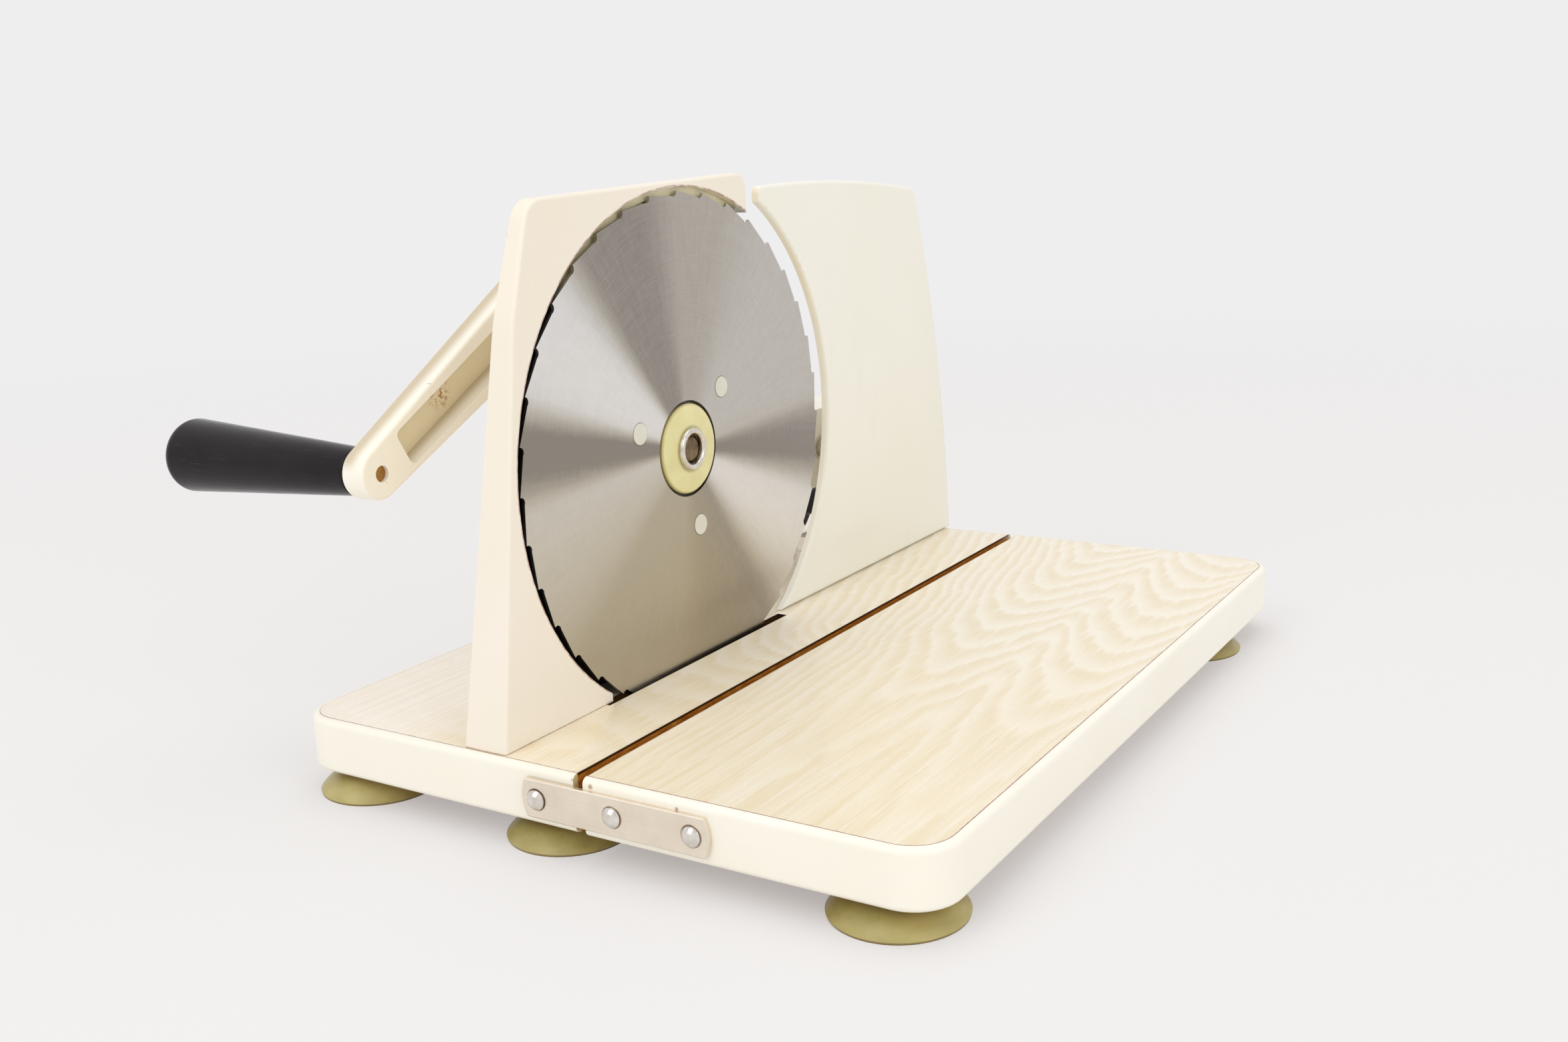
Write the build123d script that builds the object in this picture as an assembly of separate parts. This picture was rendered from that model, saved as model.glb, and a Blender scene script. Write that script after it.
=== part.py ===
from build123d import *
import os
from math import acos, cos, pi, radians, sin, sqrt, tan

# Hand-cranked bread slicer on a folding laminated board that stands on suction cups.
# Millimetres, +Z up. X = 0 is the front face of the blade, with the feed board on +X and the
# crank on -X. Y = 0 is the middle of the boards' depth and Z = 0 is the table under the cups.

os.makedirs("parts", exist_ok=True)

# ---------------------------------------------------------------- driving dimensions
# boards
BOARD_DEPTH = 342.0
BOARD_THICKNESS = 20.0
MACHINE_BOARD_LEFT = 97.5
JOINT_EDGE_X = 31.3
JOINT_GAP = 4.2
FEED_BOARD_RIGHT = 160.3
LAMINATE = 0.9
BAND = 2.5
BAND_ROUND = 2.2
BOARD_CORNER_R = 16.0
MACHINE_FACE_SETBACK = 0.4

# suction cups and the pan-head screws that hold them
CUP_HEIGHT = 9.8
CUP_RADIUS = 21.7
CUP_LIP = 2.1
CUP_LIP_HEIGHT = 0.9
CUP_LIP_FLARE = 0.2
CUP_NECK_RADIUS = 8.0
CUP_SHOULDER_DROP = 1.6
CUP_CAVITY = 3.4
CUP_LEFT_X = -76.0
CUP_MIDDLE_X = 13.0
CUP_RIGHT_X = 137.0
CUP_FRONT_INSET = 19.6
CUP_REAR_INSET = 48.2
CUP_SCREW_RADIUS = 1.9
CUP_SCREW_HEAD_RADIUS = 4.0
CUP_SCREW_HEAD = 1.8
CUP_SCREW_DEPTH = 11.0
CUP_DOME_RISE = 1.6
CUP_CAVITY_RISE = 0.6

# folding hinge strips and their domed screws
STRIP_THICKNESS = 1.8
STRIP_HEIGHT = 13.2
STRIP_END = 6.3
STRIP_END_BULGE = 1.7
STRIP_CHAMFER = 0.35
PIVOT_X = 17.3
STRIP_SCREW_XS = (47.8, 78.2)
STRIP_HEAD_RADIUS = 3.4
STRIP_HEAD_HEIGHT = 2.3
STRIP_HEAD_SIDE = 0.5
STRIP_SHANK_RADIUS = 2.2
STRIP_SCREW_DEPTH = 24.0
STRIP_SCREW_POINT = 3.0

# blade, its hub and its fixed axle
BLADE_RADIUS = 95.0
BLADE_DIP = 12.8
BLADE_THICKNESS = 1.2
BLADE_BORE_RADIUS = 18.2
TOOTH_COUNT = 36
TOOTH_DEPTH = 1.8
TOOTH_PHASE = 9.4
GULLET_SHARE = 0.17
GULLET_SAG = 0.2
PEG_RADIUS = 4.0
PEG_CIRCLE_RADIUS = 31.0
PEG_ANGLES = (40.0, 160.0, 280.0)
PEG_STANDOUT = 0.3
SLOT_LEFT = 2.2
SLOT_RIGHT = 2.0
SLOT_NEAR_IN = 36.0
SLOT_FAR_IN = 34.0
SLOT_FLOOR = 3.0
HUB_DISC_RADIUS = 17.0
HUB_DISC_STANDOUT = 1.4
HUB_DISC_EDGE = 0.6
HUB_DISC_RISE = 0.25
HUB_GROOVE_DEPTH = 1.4
SLEEVE_RADIUS = 6.6
SLEEVE_RIM_RADIUS = 8.15
SLEEVE_STANDOUT = 3.2
SLEEVE_RIM_ROUND = 1.2
AXLE_RADIUS = 5.0
AXLE_THREAD_RADIUS = 4.0
AXLE_FRONT = 1.6
AXLE_CHAMFER = 0.8
AXLE_THREAD_END = 9.0
AXLE_NUT_HEIGHT = 6.0
AXLE_NUT_FLATS = 13.0
AXLE_WASHER = 1.2
AXLE_WASHER_RADIUS = 8.0
THRUST_RING = 3.0
CLIP_HALF = 0.4
CLIP_RING = 0.45
CLIP_GROOVE = 0.8
CLIP_GAP = 3.2

# gears
MODULE = 2.0
PINION_TEETH = 18
CRANK_GEAR_TEETH = 36
PRESSURE_ANGLE = 20.0
DEDENDUM = 1.25
FLANK_STEPS = 4
BACKLASH = 0.24
FLANGE_RADIUS = 37.0
FLANGE_THICKNESS = 2.5
PINION_WIDTH = 13.0
CRANK_GEAR_WIDTH = 11.0
CRANK_GEAR_SETBACK = 1.0
CRANK_CENTRE_ANGLE = 100.3
TIP_ROOM = 1.2

# housing, its outline measured from the blade's axis in the blade's plane
HOUSING_FACE = 0.7
HOUSING_WALL = 2.6
HOUSING_FRONT_INSET = 3.5
POCKET_GAP = 1.6
BASE_NEAR_OUT = 16.3
KNEE_IN = 3.7
KNEE_HEIGHT = 57.9
TOP_NEAR_IN = 15.0
TOP_FAR_Y = 46.6
TOP_WALL = 3.5
TOP_DROP = 4.1
KNEE_ROUND = 60.0
TOP_NEAR_ROUND = 9.0
TOP_FAR_ROUND = 6.0
TIP_CUT_IN = 41.1
TIP_CUT_HEIGHT = 30.0
DEPTH_AT_BASE = 17.0
DEPTH_AT_TOP = 4.8
EDGE_ROUND = 1.2
COVER_FAR_Y = (26.0, 38.0, 43.0, 43.6)
COVER_FAR_HEIGHT = (0.0, 42.0, 122.0)
COVER_FAR_OVER = 17.7
CASE_DEPTH = 21.0
CASE_WALL = 3.0
CASE_FLARE = 6.5
CRANK_BOSS_RADIUS = 13.0
CRANK_BOSS_END = 46.0
AXLE_BOSS_RADIUS = 11.0
AXLE_BOSS_END = 25.0
RIB_THICKNESS = 3.0
RIB_REACH = 15.0
RIB_DROP = 6.0
RIB_ANGLES = (45, 135, 225, 315)

# screws that hold the housing, its cover and the bracket
SHELL_SCREW_X = -8.6
SHELL_SCREW_INS = (11.9, 33.9)
COVER_BASE_SCREW_X = -12.2
COVER_BASE_SCREW_YS = (-28.0, 14.0)
BASE_SCREW_RADIUS = 2.0
BASE_SCREW_REACH = 12.0
BASE_SCREW_POINT = 1.5
BASE_BOSS_RADIUS = 3.8
BASE_BOSS_HEIGHT = 15.0
BOSS_WEB = 2.4
CSK_RADIUS = 4.2
CSK_DEPTH = 2.4
FOOT_SCREW_NEAR_IN = 18.0
FOOT_SCREW_FAR_IN = 12.0
COVER_SCREW_LOW_IN = 13.9
COVER_SCREW_LOW_UP = 18.2
COVER_SCREW_HIGH_IN = 1.1
COVER_SCREW_HIGH_DOWN = 12.0
COVER_SCREW_RADIUS = 1.5
COVER_SCREW_HEAD_RADIUS = 2.8
COVER_SCREW_HEAD = 1.4
COVER_SCREW_LENGTH = 8.0
COVER_BOSS_RADIUS = 3.4

# crank
SHAFT_RADIUS = 6.0
SHAFT_HEAD_RADIUS = 9.0
SHAFT_HEAD = 2.0
SHAFT_FLAT = 1.0
SHAFT_SQUARE = 9.0
SHAFT_SQUARE_START = 50.0
BUSH_WALL = 2.5
BUSH_FLANGE = 2.2
BUSH_FLANGE_RADIUS = 11.0
BUSH_STANDOUT = 0.5
ARM_LENGTH = 100.0
ARM_ANGLE = 208.8
ARM_FRONT = 60.0
ARM_DEPTH = 10.3
ARM_WEB = 2.3
ARM_HUB_RADIUS = 14.4
ARM_BOSS_RADIUS = 9.3
ARM_EDGE_ROUND = 1.4
RECESS_WIDTH = 14.5
RECESS_START = 13.0
RECESS_END = 16.0
RECESS_ROUND = 2.5
HUB_RADIUS = 13.0
HUB_START = 47.8
THRUST_WASHER = 1.0
HANDLE_PIN_RADIUS = 2.9
HANDLE_PIN_RECESS = 1.5
HANDLE_PIN_BODY_RADIUS = 3.4
HANDLE_PIN_REACH = 72.0
HANDLE_PIN_HEAD = 3.0
HANDLE_PIN_HEAD_RADIUS = 4.6
GRIP_END_X = 160.3
GRIP_SMALL_RADIUS = 8.6
GRIP_LARGE_RADIUS = 14.0
GRIP_SMALL_ROUND = 1.0
GRIP_LARGE_ROUND = 5.0
ARM_WASHER = 1.5
ARM_WASHER_RADIUS = 10.0
ARM_SCREW_RADIUS = 2.5
ARM_SCREW_HEAD_RADIUS = 5.5
ARM_SCREW_HEAD = 3.6
ARM_SCREW_LENGTH = 16.0

# stop plate, outline measured from the blade's axis in the blade's plane
PLATE_SETBACK = 2.0
PLATE_TRAVEL_BACK = 10.0
PLATE_SKIN = 2.2
PLATE_RIM_DEPTH = 3.0
PLATE_RIM_WIDTH = 2.4
PLATE_EDGE_ROUND = 1.5
PLATE_LIFT = 0.5
PLATE_NEAR_IN = 36.0
PLATE_NEAR_DOWN = 0.9
PLATE_NEAR_DROP = 6.1
PLATE_EDGE_ROOM = 12.6
PLATE_EDGE_HEIGHT = 3.0
PLATE_BASE_IN = 30.2
PLATE_SIDE_IN = 11.2
PLATE_SIDE_HEIGHT = 11.9
PLATE_FAR_IN = 31.6
PLATE_FAR_DOWN = 6.7
PLATE_TOP_MID_IN = 72.5
PLATE_TOP_MID_DOWN = 0.1
PLATE_NEAR_ROUND = 3.0
PLATE_FAR_ROUND = 8.0

# bracket, guide rods and thickness adjuster behind the stop plate
TRAVEL_ROOM = 1.0
BEAM_DEPTH = 19.0
BEAM_NEAR_OUT = 1.0
BEAM_FAR_IN = 19.6
BEAM_LIFT = 39.5
BEAM_HEIGHT = 35.3
BRACKET_ROUND = 2.0
POST_WIDTH = 52.0
POST_DEPTH = 15.0
FOOT_DEPTH = 29.0
FOOT_HEIGHT = 7.0
ROD_RADIUS = 4.0
ROD_NEAR_IN = 36.0
ROD_FAR_IN = 14.0
ROD_TAIL = 10.0
ROD_BUSH_WALL = 1.6
ROD_BOSS_RADIUS = 7.0
ROD_BOSS_END = 10.0
SPINDLE_IN = 9.0
SPINDLE_HEIGHT = 23.7
SPINDLE_RADIUS = 3.0
SPINDLE_WALL = 3.0
NUT_RADIUS = 4.6
NUT_LENGTH = 6.0
NUT_BOSS_RADIUS = 6.6
NUT_POCKET_ROOM = 0.8
SPINDLE_CLIP = 0.8
SPINDLE_CLIP_RADIUS = 4.8
SPINDLE_GROOVE = 0.5
KNOB_RADIUS = 20.6
KNOB_FRONT = 56.0
KNOB_THICKNESS = 16.0
KNOB_ROUND = 2.0
KNOB_NECK_RADIUS = 7.0
KNOB_FLUTES = 24
FLUTE_RADIUS = 1.6
FLUTE_DEPTH = 0.8
FLUTE_START = 3.0
KNOB_HOLLOW_RADIUS = 17.0
KNOB_HOLLOW_DEPTH = 9.0
KNOB_BOSS_RADIUS = 6.5
KNOB_SCREW_RADIUS = 1.5
KNOB_SCREW_HEAD_RADIUS = 3.0
KNOB_SCREW_HEAD = 2.0
KNOB_SCREW_LENGTH = 10.0

# clearances and margins
RUNNING = 0.05
SEATED = 0.03
SLACK = 0.3
COVER_GAP = 0.2
BEYOND = 1.0
FAR_BEYOND = 400.0

# ---------------------------------------------------------------- places that follow
BOARD_BOTTOM = CUP_HEIGHT
BOARD_TOP = BOARD_BOTTOM + BOARD_THICKNESS
CORE_TOP = BOARD_TOP - LAMINATE
BOARD_MIDDLE = BOARD_BOTTOM + BOARD_THICKNESS / 2
FEED_BOARD_LEFT = JOINT_EDGE_X + JOINT_GAP
MACHINE_DEPTH = BOARD_DEPTH - 2 * MACHINE_FACE_SETBACK
CUP_FRONT_Y = CUP_FRONT_INSET - BOARD_DEPTH / 2
CUP_REAR_Y = BOARD_DEPTH / 2 - CUP_REAR_INSET
AXLE_HEIGHT = BLADE_RADIUS - BLADE_DIP
BLADE_Z = BOARD_TOP + AXLE_HEIGHT
BASE = -AXLE_HEIGHT
SLOT_NEAR = BLADE_RADIUS - SLOT_NEAR_IN
SLOT_FAR = BLADE_RADIUS - SLOT_FAR_IN
BLADE_BACK = -BLADE_THICKNESS
FLANGE_BACK = BLADE_BACK - FLANGE_THICKNESS
PINION_BACK = FLANGE_BACK - PINION_WIDTH
GEAR_FRONT = FLANGE_BACK - CRANK_GEAR_SETBACK
GEAR_BACK = GEAR_FRONT - CRANK_GEAR_WIDTH
CASE_FLOOR = CASE_WALL - CASE_DEPTH
GEAR_DISTANCE = MODULE * (PINION_TEETH + CRANK_GEAR_TEETH) / 2
MESH_ANGLE = radians(CRANK_CENTRE_ANGLE)
CRANK_AT = (GEAR_DISTANCE * cos(MESH_ANGLE), GEAR_DISTANCE * sin(MESH_ANGLE))
HANDLE_AT = (
    CRANK_AT[0] + ARM_LENGTH * cos(radians(ARM_ANGLE)),
    CRANK_AT[1] + ARM_LENGTH * sin(radians(ARM_ANGLE)),
)
ARM_BACK = -ARM_FRONT - ARM_DEPTH

# The housing goes round the blade's pocket and stands just inside the board's front end. Its
# top clears the pocket and the crank gear.
POCKET_RADIUS = BLADE_RADIUS + POCKET_GAP
COVER_INSET = HOUSING_WALL + COVER_GAP
BASE_NEAR_Y = -POCKET_RADIUS - BASE_NEAR_OUT
BLADE_Y = HOUSING_FRONT_INSET - BOARD_DEPTH / 2 - BASE_NEAR_Y
KNEE =(KNEE_IN - POCKET_RADIUS, KNEE_HEIGHT)
TOP_NEAR_Y = TOP_NEAR_IN - POCKET_RADIUS
TOP_LEAN = TOP_DROP * (TOP_FAR_Y - CRANK_AT[0]) / (TOP_FAR_Y - TOP_NEAR_Y)
CRANK_GEAR_ROOM = MODULE * (CRANK_GEAR_TEETH / 2 + 1) + TIP_ROOM
CASE_TOP = CRANK_AT[1] + CRANK_GEAR_ROOM + CASE_WALL + COVER_INSET + TOP_LEAN
TOP_FAR = (TOP_FAR_Y, max(POCKET_RADIUS + TOP_WALL, CASE_TOP))
TOP_NEAR = (TOP_NEAR_Y, TOP_FAR[1] - TOP_DROP)
TIP_CUT_Y = TIP_CUT_IN - POCKET_RADIUS
COVER_FAR_HEIGHTS = (*COVER_FAR_HEIGHT, TOP_FAR[1] - BASE + COVER_FAR_OVER)
SHELL_SCREW_YS = [BASE_NEAR_Y + y for y in SHELL_SCREW_INS]
COVER_SCREWS = (
    (BASE_NEAR_Y + COVER_SCREW_LOW_IN, BASE + COVER_SCREW_LOW_UP),
    (TOP_NEAR[0] + COVER_SCREW_HIGH_IN, TOP_NEAR[1] - COVER_SCREW_HIGH_DOWN),
)

# the stop plate's near edge follows the blade and its far side ends with the board
PLATE_NEAR_TOP = (BLADE_RADIUS - PLATE_NEAR_IN, BLADE_RADIUS - PLATE_NEAR_DOWN)
PLATE_EDGE_MID = (BLADE_RADIUS + PLATE_EDGE_ROOM, PLATE_EDGE_HEIGHT)
PLATE_NEAR_BASE_Y = BLADE_RADIUS - PLATE_BASE_IN
PLATE_FAR_BASE_Y = BOARD_DEPTH / 2 - BLADE_Y
PLATE_SIDE_MID = (PLATE_FAR_BASE_Y - PLATE_SIDE_IN, PLATE_SIDE_HEIGHT)
PLATE_FAR_TOP = (PLATE_FAR_BASE_Y - PLATE_FAR_IN, PLATE_NEAR_TOP[1] - PLATE_FAR_DOWN)
PLATE_TOP_MID = (PLATE_FAR_TOP[0] - PLATE_TOP_MID_IN, PLATE_NEAR_TOP[1] - PLATE_TOP_MID_DOWN)
BEAM_NEAR_Y = BLADE_RADIUS + BEAM_NEAR_OUT
BEAM_FAR_Y = PLATE_FAR_BASE_Y - BEAM_FAR_IN
BEAM_BOTTOM = BASE + BEAM_LIFT
BEAM_TOP = BEAM_BOTTOM + BEAM_HEIGHT
POST_NEAR_Y = BEAM_FAR_Y - POST_WIDTH
ROD_YS = (BEAM_NEAR_Y + ROD_NEAR_IN, BEAM_FAR_Y - ROD_FAR_IN)
SPINDLE_AT = (POST_NEAR_Y + SPINDLE_IN, BASE + SPINDLE_HEIGHT)
FOOT_SCREW_YS = (POST_NEAR_Y + FOOT_SCREW_NEAR_IN, BEAM_FAR_Y - FOOT_SCREW_FAR_IN)
PLATE_FACE = -PLATE_SETBACK
PLATE_INSIDE = PLATE_FACE - PLATE_SKIN
PLATE_BACK = PLATE_FACE - PLATE_RIM_DEPTH
BRACKET_FRONT = ROD_BOSS_END + PLATE_TRAVEL_BACK + TRAVEL_ROOM
SPINDLE_TIP = PLATE_TRAVEL_BACK + TRAVEL_ROOM - PLATE_INSIDE
ROD_Z = (BEAM_TOP + BEAM_BOTTOM) / 2
BEAM_BACK = -BRACKET_FRONT - BEAM_DEPTH
POST_BACK = -BRACKET_FRONT - POST_DEPTH
NUT_FRONT = -SPINDLE_TIP + SEATED
NUT_BACK = NUT_FRONT - NUT_LENGTH


# ---------------------------------------------------------------- helpers
def blade_plane(x=0.0, at=(0.0, 0.0)):
    """Plane facing +X at x, its own origin at a point measured from the blade's axis."""
    return Plane(origin=(x, BLADE_Y + at[0], BLADE_Z + at[1]), x_dir=(0, 1, 0), z_dir=(1, 0, 0))


def prism(face, x_back, x_front, at=(0.0, 0.0)):
    """Extrude a face drawn in the blade's plane from x_back forward to x_front."""
    return extrude(blade_plane(x_back, at) * face, amount=x_front - x_back)


def rod(x_back, x_front, radius, at=(0.0, 0.0)):
    """Round bar along X."""
    return prism(Circle(radius), x_back, x_front, at)


def tube(x_back, x_front, outer, inner, at=(0.0, 0.0)):
    """Round tube along X."""
    return prism(Circle(outer) - Circle(inner), x_back, x_front, at)


def outline(start, *steps):
    """Closed face from straight steps (a point) and arcs (a pair: a point on the way, the end)."""
    edges = []
    here = start
    for step in steps:
        if isinstance(step[0], tuple):
            edges.append(ThreePointArc(here, step[0], step[1]))
            here = step[1]
        elif step != here:
            edges.append(Line(here, step))
            here = step
    if here != start:
        edges.append(Line(here, start))
    return make_face(edges)


def polygon(*points):
    return make_face(Polyline(*points, close=True))


def round_corner(face, near, radius):
    """Round the corner of a face that lies nearest to a point."""
    return fillet(face.vertices().sort_by_distance((near[0], near[1], 0))[0], radius)


def bulged(start, end, rise):
    """Arc step from start to end that stands out by rise to the right of its course."""
    dy, dz = end[0] - start[0], end[1] - start[1]
    length = sqrt(dy**2 + dz**2)
    way = ((start[0] + end[0]) / 2 + rise * dz / length, (start[1] + end[1]) / 2 - rise * dy / length)
    return (way, end)


def dome_way(radius, low, high):
    """Point halfway in radius on a dome that falls from high on its axis to low at radius."""
    rise = high - low
    ball = (radius**2 + rise**2) / (2 * abs(rise))
    drop = ball - sqrt(ball**2 - (radius / 2) ** 2)
    return (radius / 2, high - drop if rise > 0 else high + drop)


def turned(profile, origin, axis):
    """Turn a face drawn as (radius, height) about an axis through origin."""
    solid = revolve(Plane.XZ * profile, Axis.Z)
    return Location(Plane(origin=origin, z_dir=axis)) * solid


def turned_along_x(profile, at=(0.0, 0.0)):
    """Turn a face drawn as (radius, x) about the X direction."""
    return turned(profile, (0, BLADE_Y + at[0], BLADE_Z + at[1]), (1, 0, 0))


def block(x0, x1, y0, y1, z0, z1):
    """Box between two corners, in the part's own frame."""
    box = Box(x1 - x0, y1 - y0, z1 - z0, align=(Align.MIN, Align.MIN, Align.MIN))
    return Pos(x0, y0, z0) * box


def blade_block(x0, x1, y0, y1, z0, z1):
    """Box whose Y and Z are measured from the blade's axis."""
    return block(x0, x1, BLADE_Y + y0, BLADE_Y + y1, BLADE_Z + z0, BLADE_Z + z1)


def upright(x, y, z0, z1, radius):
    """Vertical cylinder."""
    return Pos(x, y, z0) * Cylinder(radius, z1 - z0, align=(Align.CENTER, Align.CENTER, Align.MIN))


def union(shapes):
    """One shape from a list of shapes."""
    shapes = list(shapes)
    total = shapes[0]
    for shape in shapes[1:]:
        total = total + shape
    return total


NODES = {}


def node(name, shape):
    """Keep a finished piece under its name."""
    NODES[name] = shape


# ---------------------------------------------------------------- fixing screws from below
def countersunk_screw(x, y, grow=0.0, extra=0.0):
    """Countersunk screw up through the machine board, its head flush underneath."""
    top = BOARD_TOP + BASE_SCREW_REACH + extra
    shank = BASE_SCREW_RADIUS + grow
    profile = outline(
        (0.0, BOARD_BOTTOM - extra),
        (CSK_RADIUS + grow, BOARD_BOTTOM - extra),
        (CSK_RADIUS + grow, BOARD_BOTTOM + grow),
        (shank, BOARD_BOTTOM + CSK_DEPTH + grow),
        (shank, top - BASE_SCREW_POINT),
        (BASE_SCREW_RADIUS / 2 + grow, top),
        (0.0, top),
    )
    return turned(profile, (x, y, 0), (0, 0, 1))


SHELL_SCREWS = [(SHELL_SCREW_X, BLADE_Y + y) for y in SHELL_SCREW_YS]
COVER_BASE_SCREWS = [(COVER_BASE_SCREW_X, BLADE_Y + y) for y in COVER_BASE_SCREW_YS]
FOOT_SCREW_X = -BRACKET_FRONT - FOOT_DEPTH / 2
FOOT_SCREWS = [(FOOT_SCREW_X, BLADE_Y + y) for y in FOOT_SCREW_YS]
HOUSING_SCREWS = SHELL_SCREWS + COVER_BASE_SCREWS
SCREW_CUTS = union(countersunk_screw(x, y, SEATED, SLACK) for x, y in HOUSING_SCREWS + FOOT_SCREWS)

node("housing_base_screws", union(countersunk_screw(x, y) for x, y in HOUSING_SCREWS))
node("bracket_foot_screws", union(countersunk_screw(x, y) for x, y in FOOT_SCREWS))


# ---------------------------------------------------------------- boards
MACHINE_SPAN = (-MACHINE_BOARD_LEFT, JOINT_EDGE_X)
FEED_SPAN = (FEED_BOARD_LEFT, FEED_BOARD_RIGHT)
LEFT_SIDE = 0
RIGHT_SIDE = -1


def board_plate(span, depth, corner, side, z0, z1):
    """Board-shaped plate whose two outer corners, on one side, are rounded."""
    x0, x1 = span
    plate = Pos((x0 + x1) / 2, 0) * Rectangle(x1 - x0, depth)
    plate = fillet(plate.vertices().group_by(Axis.X)[side], corner)
    return extrude(Plane.XY.offset(z0) * plate, amount=z1 - z0)


def board_body(span, depth, side, z0, z1):
    """The board inside its band, between two heights."""
    x0, x1 = span
    inner = (x0 + BAND, x1) if side == LEFT_SIDE else (x0, x1 - BAND)
    return board_plate(inner, depth - 2 * BAND, BOARD_CORNER_R - BAND, side, z0, z1)


def edge_band(span, depth, side):
    """Rounded plastic band round the three outer sides of a board."""
    outer = board_plate(span, depth, BOARD_CORNER_R, side, BOARD_BOTTOM, BOARD_TOP)
    joint_x = span[1] if side == LEFT_SIDE else span[0]
    levels = outer.faces().sort_by(Axis.Z)
    rims = levels[0].edges() + levels[-1].edges()
    rims = [edge for edge in rims if abs(edge.center().X - joint_x) > BAND]
    outer = fillet(rims, BAND_ROUND)
    return outer - board_body(span, depth, side, BOARD_BOTTOM, BOARD_TOP)


# slot for the blade through the laminate and most of the core
SLOT = block(
    -SLOT_LEFT, SLOT_RIGHT, BLADE_Y - SLOT_NEAR, BLADE_Y + SLOT_FAR,
    BOARD_BOTTOM + SLOT_FLOOR, BOARD_TOP + BEYOND,
)

# ---------------------------------------------------------------- suction cups
MACHINE_CUPS = [(x, y) for x in (CUP_LEFT_X, CUP_MIDDLE_X) for y in (CUP_FRONT_Y, CUP_REAR_Y)]
FEED_CUPS = [(CUP_RIGHT_X, y) for y in (CUP_FRONT_Y, CUP_REAR_Y)]
CUP_SEAT = CUP_CAVITY + CUP_SCREW_HEAD


def suction_cup(x, y):
    """Shallow rubber cup with a flat sealing lip, domed up to a neck under the board."""
    shoulder = CUP_HEIGHT - CUP_SHOULDER_DROP
    inner_lip = CUP_RADIUS - CUP_LIP
    bore = CUP_SCREW_RADIUS + SEATED
    pocket = CUP_SCREW_HEAD_RADIUS + SLACK
    flare = (CUP_RADIUS + CUP_LIP_FLARE, CUP_LIP_HEIGHT)
    profile = outline(
        (inner_lip, 0.0),
        (CUP_RADIUS, 0.0),
        flare,
        bulged(flare, (CUP_NECK_RADIUS, shoulder), CUP_DOME_RISE),
        (CUP_NECK_RADIUS, CUP_HEIGHT),
        (bore, CUP_HEIGHT),
        (bore, CUP_SEAT),
        (pocket, CUP_SEAT),
        (pocket, CUP_CAVITY),
        bulged((pocket, CUP_CAVITY), (inner_lip, 0.0), -CUP_CAVITY_RISE),
    )
    return turned(profile, (x, y, 0), (0, 0, 1))


def cup_screw(x, y):
    """Pan-head screw up through the cup's crown into the board."""
    shank = upright(x, y, CUP_SEAT, BOARD_BOTTOM + CUP_SCREW_DEPTH, CUP_SCREW_RADIUS)
    return shank + upright(x, y, CUP_CAVITY, CUP_SEAT, CUP_SCREW_HEAD_RADIUS)


def cup_screw_holes(places):
    """Blind holes under a board for the cups' screws."""
    top = BOARD_BOTTOM + CUP_SCREW_DEPTH + SLACK
    return union(upright(x, y, 0, top, CUP_SCREW_RADIUS + SEATED) for x, y in places)


# ---------------------------------------------------------------- hinge strips
STRIP_BACK_Y = -BOARD_DEPTH / 2
STRIP_FRONT_Y = STRIP_BACK_Y - STRIP_THICKNESS
STRIP_LEFT = PIVOT_X - STRIP_END
STRIP_RIGHT = STRIP_SCREW_XS[-1] + STRIP_END


def both_ends(shape):
    """The same shape on the front and the rear edge of the boards."""
    return shape + mirror(shape, about=Plane.XZ)


def hinge_strip():
    """Steel strip on the boards' front edge, bulged at both ends."""
    plane = Plane(origin=(0, STRIP_BACK_Y, 0), x_dir=(1, 0, 0), z_dir=(0, -1, 0))
    low = BOARD_MIDDLE - STRIP_HEIGHT / 2
    high = BOARD_MIDDLE + STRIP_HEIGHT / 2
    left = STRIP_LEFT + STRIP_END_BULGE
    right = STRIP_RIGHT - STRIP_END_BULGE
    face = outline(
        (left, low),
        (right, low),
        ((STRIP_RIGHT, BOARD_MIDDLE), (right, high)),
        (left, high),
        ((STRIP_LEFT, BOARD_MIDDLE), (left, low)),
    )
    holes = Pos(PIVOT_X, BOARD_MIDDLE) * Circle(STRIP_SHANK_RADIUS + RUNNING)
    for x in STRIP_SCREW_XS:
        holes = holes + Pos(x, BOARD_MIDDLE) * Circle(STRIP_SHANK_RADIUS + SEATED)
    strip = extrude(plane * (face - holes), amount=STRIP_THICKNESS)
    return chamfer(strip.faces().sort_by(Axis.Y)[0].outer_wire().edges(), STRIP_CHAMFER)


def domed_screw(x, head_gap):
    """Domed screw through a strip into a board's front edge."""
    head_y = STRIP_FRONT_Y - head_gap
    reach = STRIP_BACK_Y + STRIP_SCREW_DEPTH - head_y
    profile = outline(
        (0.0, reach),
        (STRIP_SHANK_RADIUS / 2, reach),
        (STRIP_SHANK_RADIUS, reach - STRIP_SCREW_POINT),
        (STRIP_SHANK_RADIUS, 0.0),
        (STRIP_HEAD_RADIUS, 0.0),
        (STRIP_HEAD_RADIUS, -STRIP_HEAD_SIDE),
        (dome_way(STRIP_HEAD_RADIUS, -STRIP_HEAD_SIDE, -STRIP_HEAD_HEIGHT), (0.0, -STRIP_HEAD_HEIGHT)),
    )
    return turned(profile, (x, head_y, BOARD_MIDDLE), (0, 1, 0))


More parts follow.
